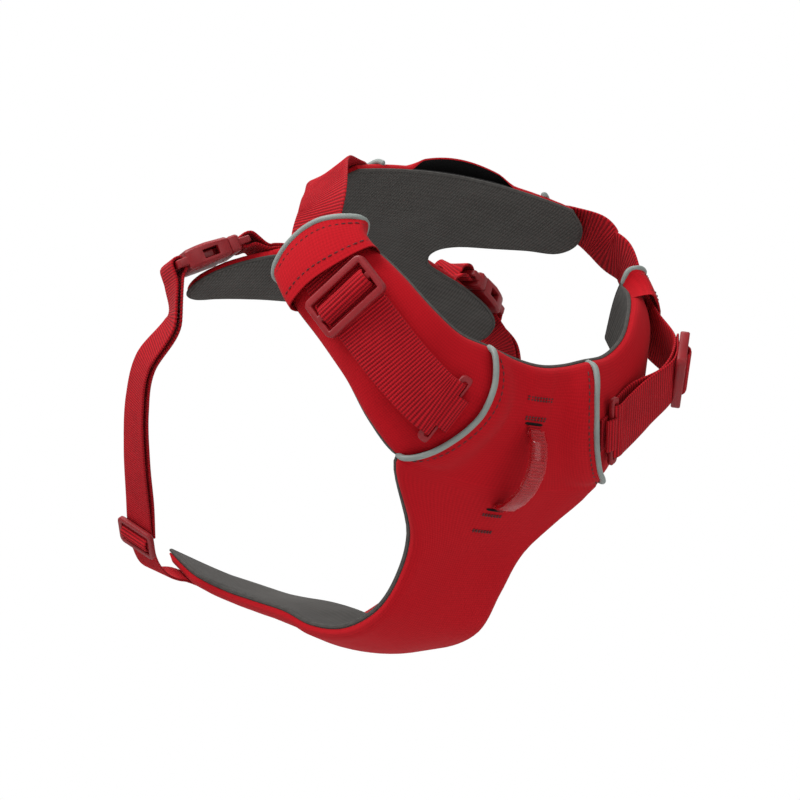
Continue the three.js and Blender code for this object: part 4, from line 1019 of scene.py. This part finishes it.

# a slit at each end of the loop, drawn as a near-black cord of painted shade, and bar tacks beside them
for name, x, z in (("upper", 114, -30.2), ("lower", 82, -68.5)):
    slit, outs = on_cloth("chest_cover_cloth", [(x, y, z) for y in (-5.2, 0, 5.2)], 0.05)
    rope(f"loop_slit_{name}", slit, 1.5, painted_shade_cloth, outs, slot="sleeve")
tacks = []
for x, z, half in ((114, -16.5, 6.5), (115, -27.5, 6.5), (79, -70.5, 6), (70, -76.5, 6)):
    for step in (-0.5, 0.5):
        tacks.append(on_cloth("chest_cover_cloth", [(x, half * share, z + step * 1.5)
                                                    for share in (-1, -0.5, 0, 0.5, 1)], 0.15))
stitches("loop_bar_tacks", tacks, long=1.3, gap=0.4, wide=1.1)

# ---------- leash ring on the back ----------

hard("leash_ring", "leash_ring", 0.5, ring_alloy)
RING_PIVOT = ON_SHELL + WEB + 2.9
pivot = on_back(0.53, 0.5, RING_PIVOT)
keeper = [(-16, 0), (-9, 0), (-5.8, 1.6), (-4.4, 4.4), (-2.2, 7), (0, 7.6), (2.2, 7), (4.4, 4.4),
          (5.8, 1.6), (8.5, 0), (11.5, 0)]
ribbon("leash_ring_keeper", [pivot.point + pivot.to_rear * a + pivot.up * (r + INNER - RING_PIVOT)
                             for a, r in keeper], [pivot.to_left] * len(keeper), 16, web_cloth,
       rib=0.15, stands_for=("leash_ring_webbing",), slot="webbing")
runs = []
for a in (-14, -10.5, 10.2):
    spot = pivot.point + pivot.to_rear * a + pivot.up * (INNER - RING_PIVOT + WEB / 2 + 0.15)
    runs.append(([spot - pivot.to_left * 6.5, spot, spot + pivot.to_left * 6.5], [pivot.up] * 3))
stitches("leash_ring_keeper_stitches", runs, long=1.6, gap=0.4, wide=0.9)

# ---------- floor and light ----------

floor_finish, _, _ = finish("pale_paper_floor", Base_Color=linear("DCDCDC"), Roughness=0.9)
floor_mesh = bpy.data.meshes.new("floor")
FLOOR, FLOOR_HALF = -0.46, 15.0
floor_mesh.from_pydata([(-FLOOR_HALF, -FLOOR_HALF, FLOOR), (FLOOR_HALF, -FLOOR_HALF, FLOOR),
                        (FLOOR_HALF, FLOOR_HALF, FLOOR), (-FLOOR_HALF, FLOOR_HALF, FLOOR)],
                       [], [(0, 1, 2, 3)])
floor_mesh.materials.append(floor_finish)
floor = bpy.data.objects.new("floor", floor_mesh)
bpy.context.scene.collection.objects.link(floor)

# a white backdrop behind the harness and a dimmer room all round it
ROOM, BACKDROP = 0.42, 1.0
world = bpy.data.worlds.new("studio")
world.use_nodes = True
sky = world.node_tree
way_out = add(sky, "ShaderNodeTexCoord").outputs["Generated"]
facing = add(sky, "ShaderNodeVectorMath", {0: way_out, 1: tuple(-back)}, operation="DOT_PRODUCT")
glow = add(sky, "ShaderNodeMapRange", {"Value": facing.outputs["Value"], "From Min": 0.75, "From Max": 0.93,
                                       "To Min": ROOM, "To Max": BACKDROP})
sky.links.new(glow.outputs[0], sky.nodes["Background"].inputs[1])
sky.nodes["Background"].inputs[0].default_value = (1, 1, 1, 1)
bpy.context.scene.world = world
bpy.context.scene.view_settings.view_transform = "Standard"


def lamp(name, spot, aim, size, power):
    made = bpy.data.lights.new(name, "AREA")
    made.size = size
    made.energy = power
    obj = bpy.data.objects.new(name, made)
    obj.location = spot
    obj.rotation_euler = (Vector(aim) - Vector(spot)).to_track_quat("-Z", "Y").to_euler()
    bpy.context.scene.collection.objects.link(obj)


lamp("key_light", target - right * 0.75 + up * 1.0 + back * 0.35, target, 0.7, 15)
lamp("fill_light", target + right * 1.1 + up * 0.3 + back * 0.9, target, 1.0, 3)
lamp("strip_light", target + right * 0.35 + up * 0.75 + back * 1.0, target, 0.16, 1.6)
lamp("top_light", target + up * 1.2 - back * 0.6, target, 0.8, 5)
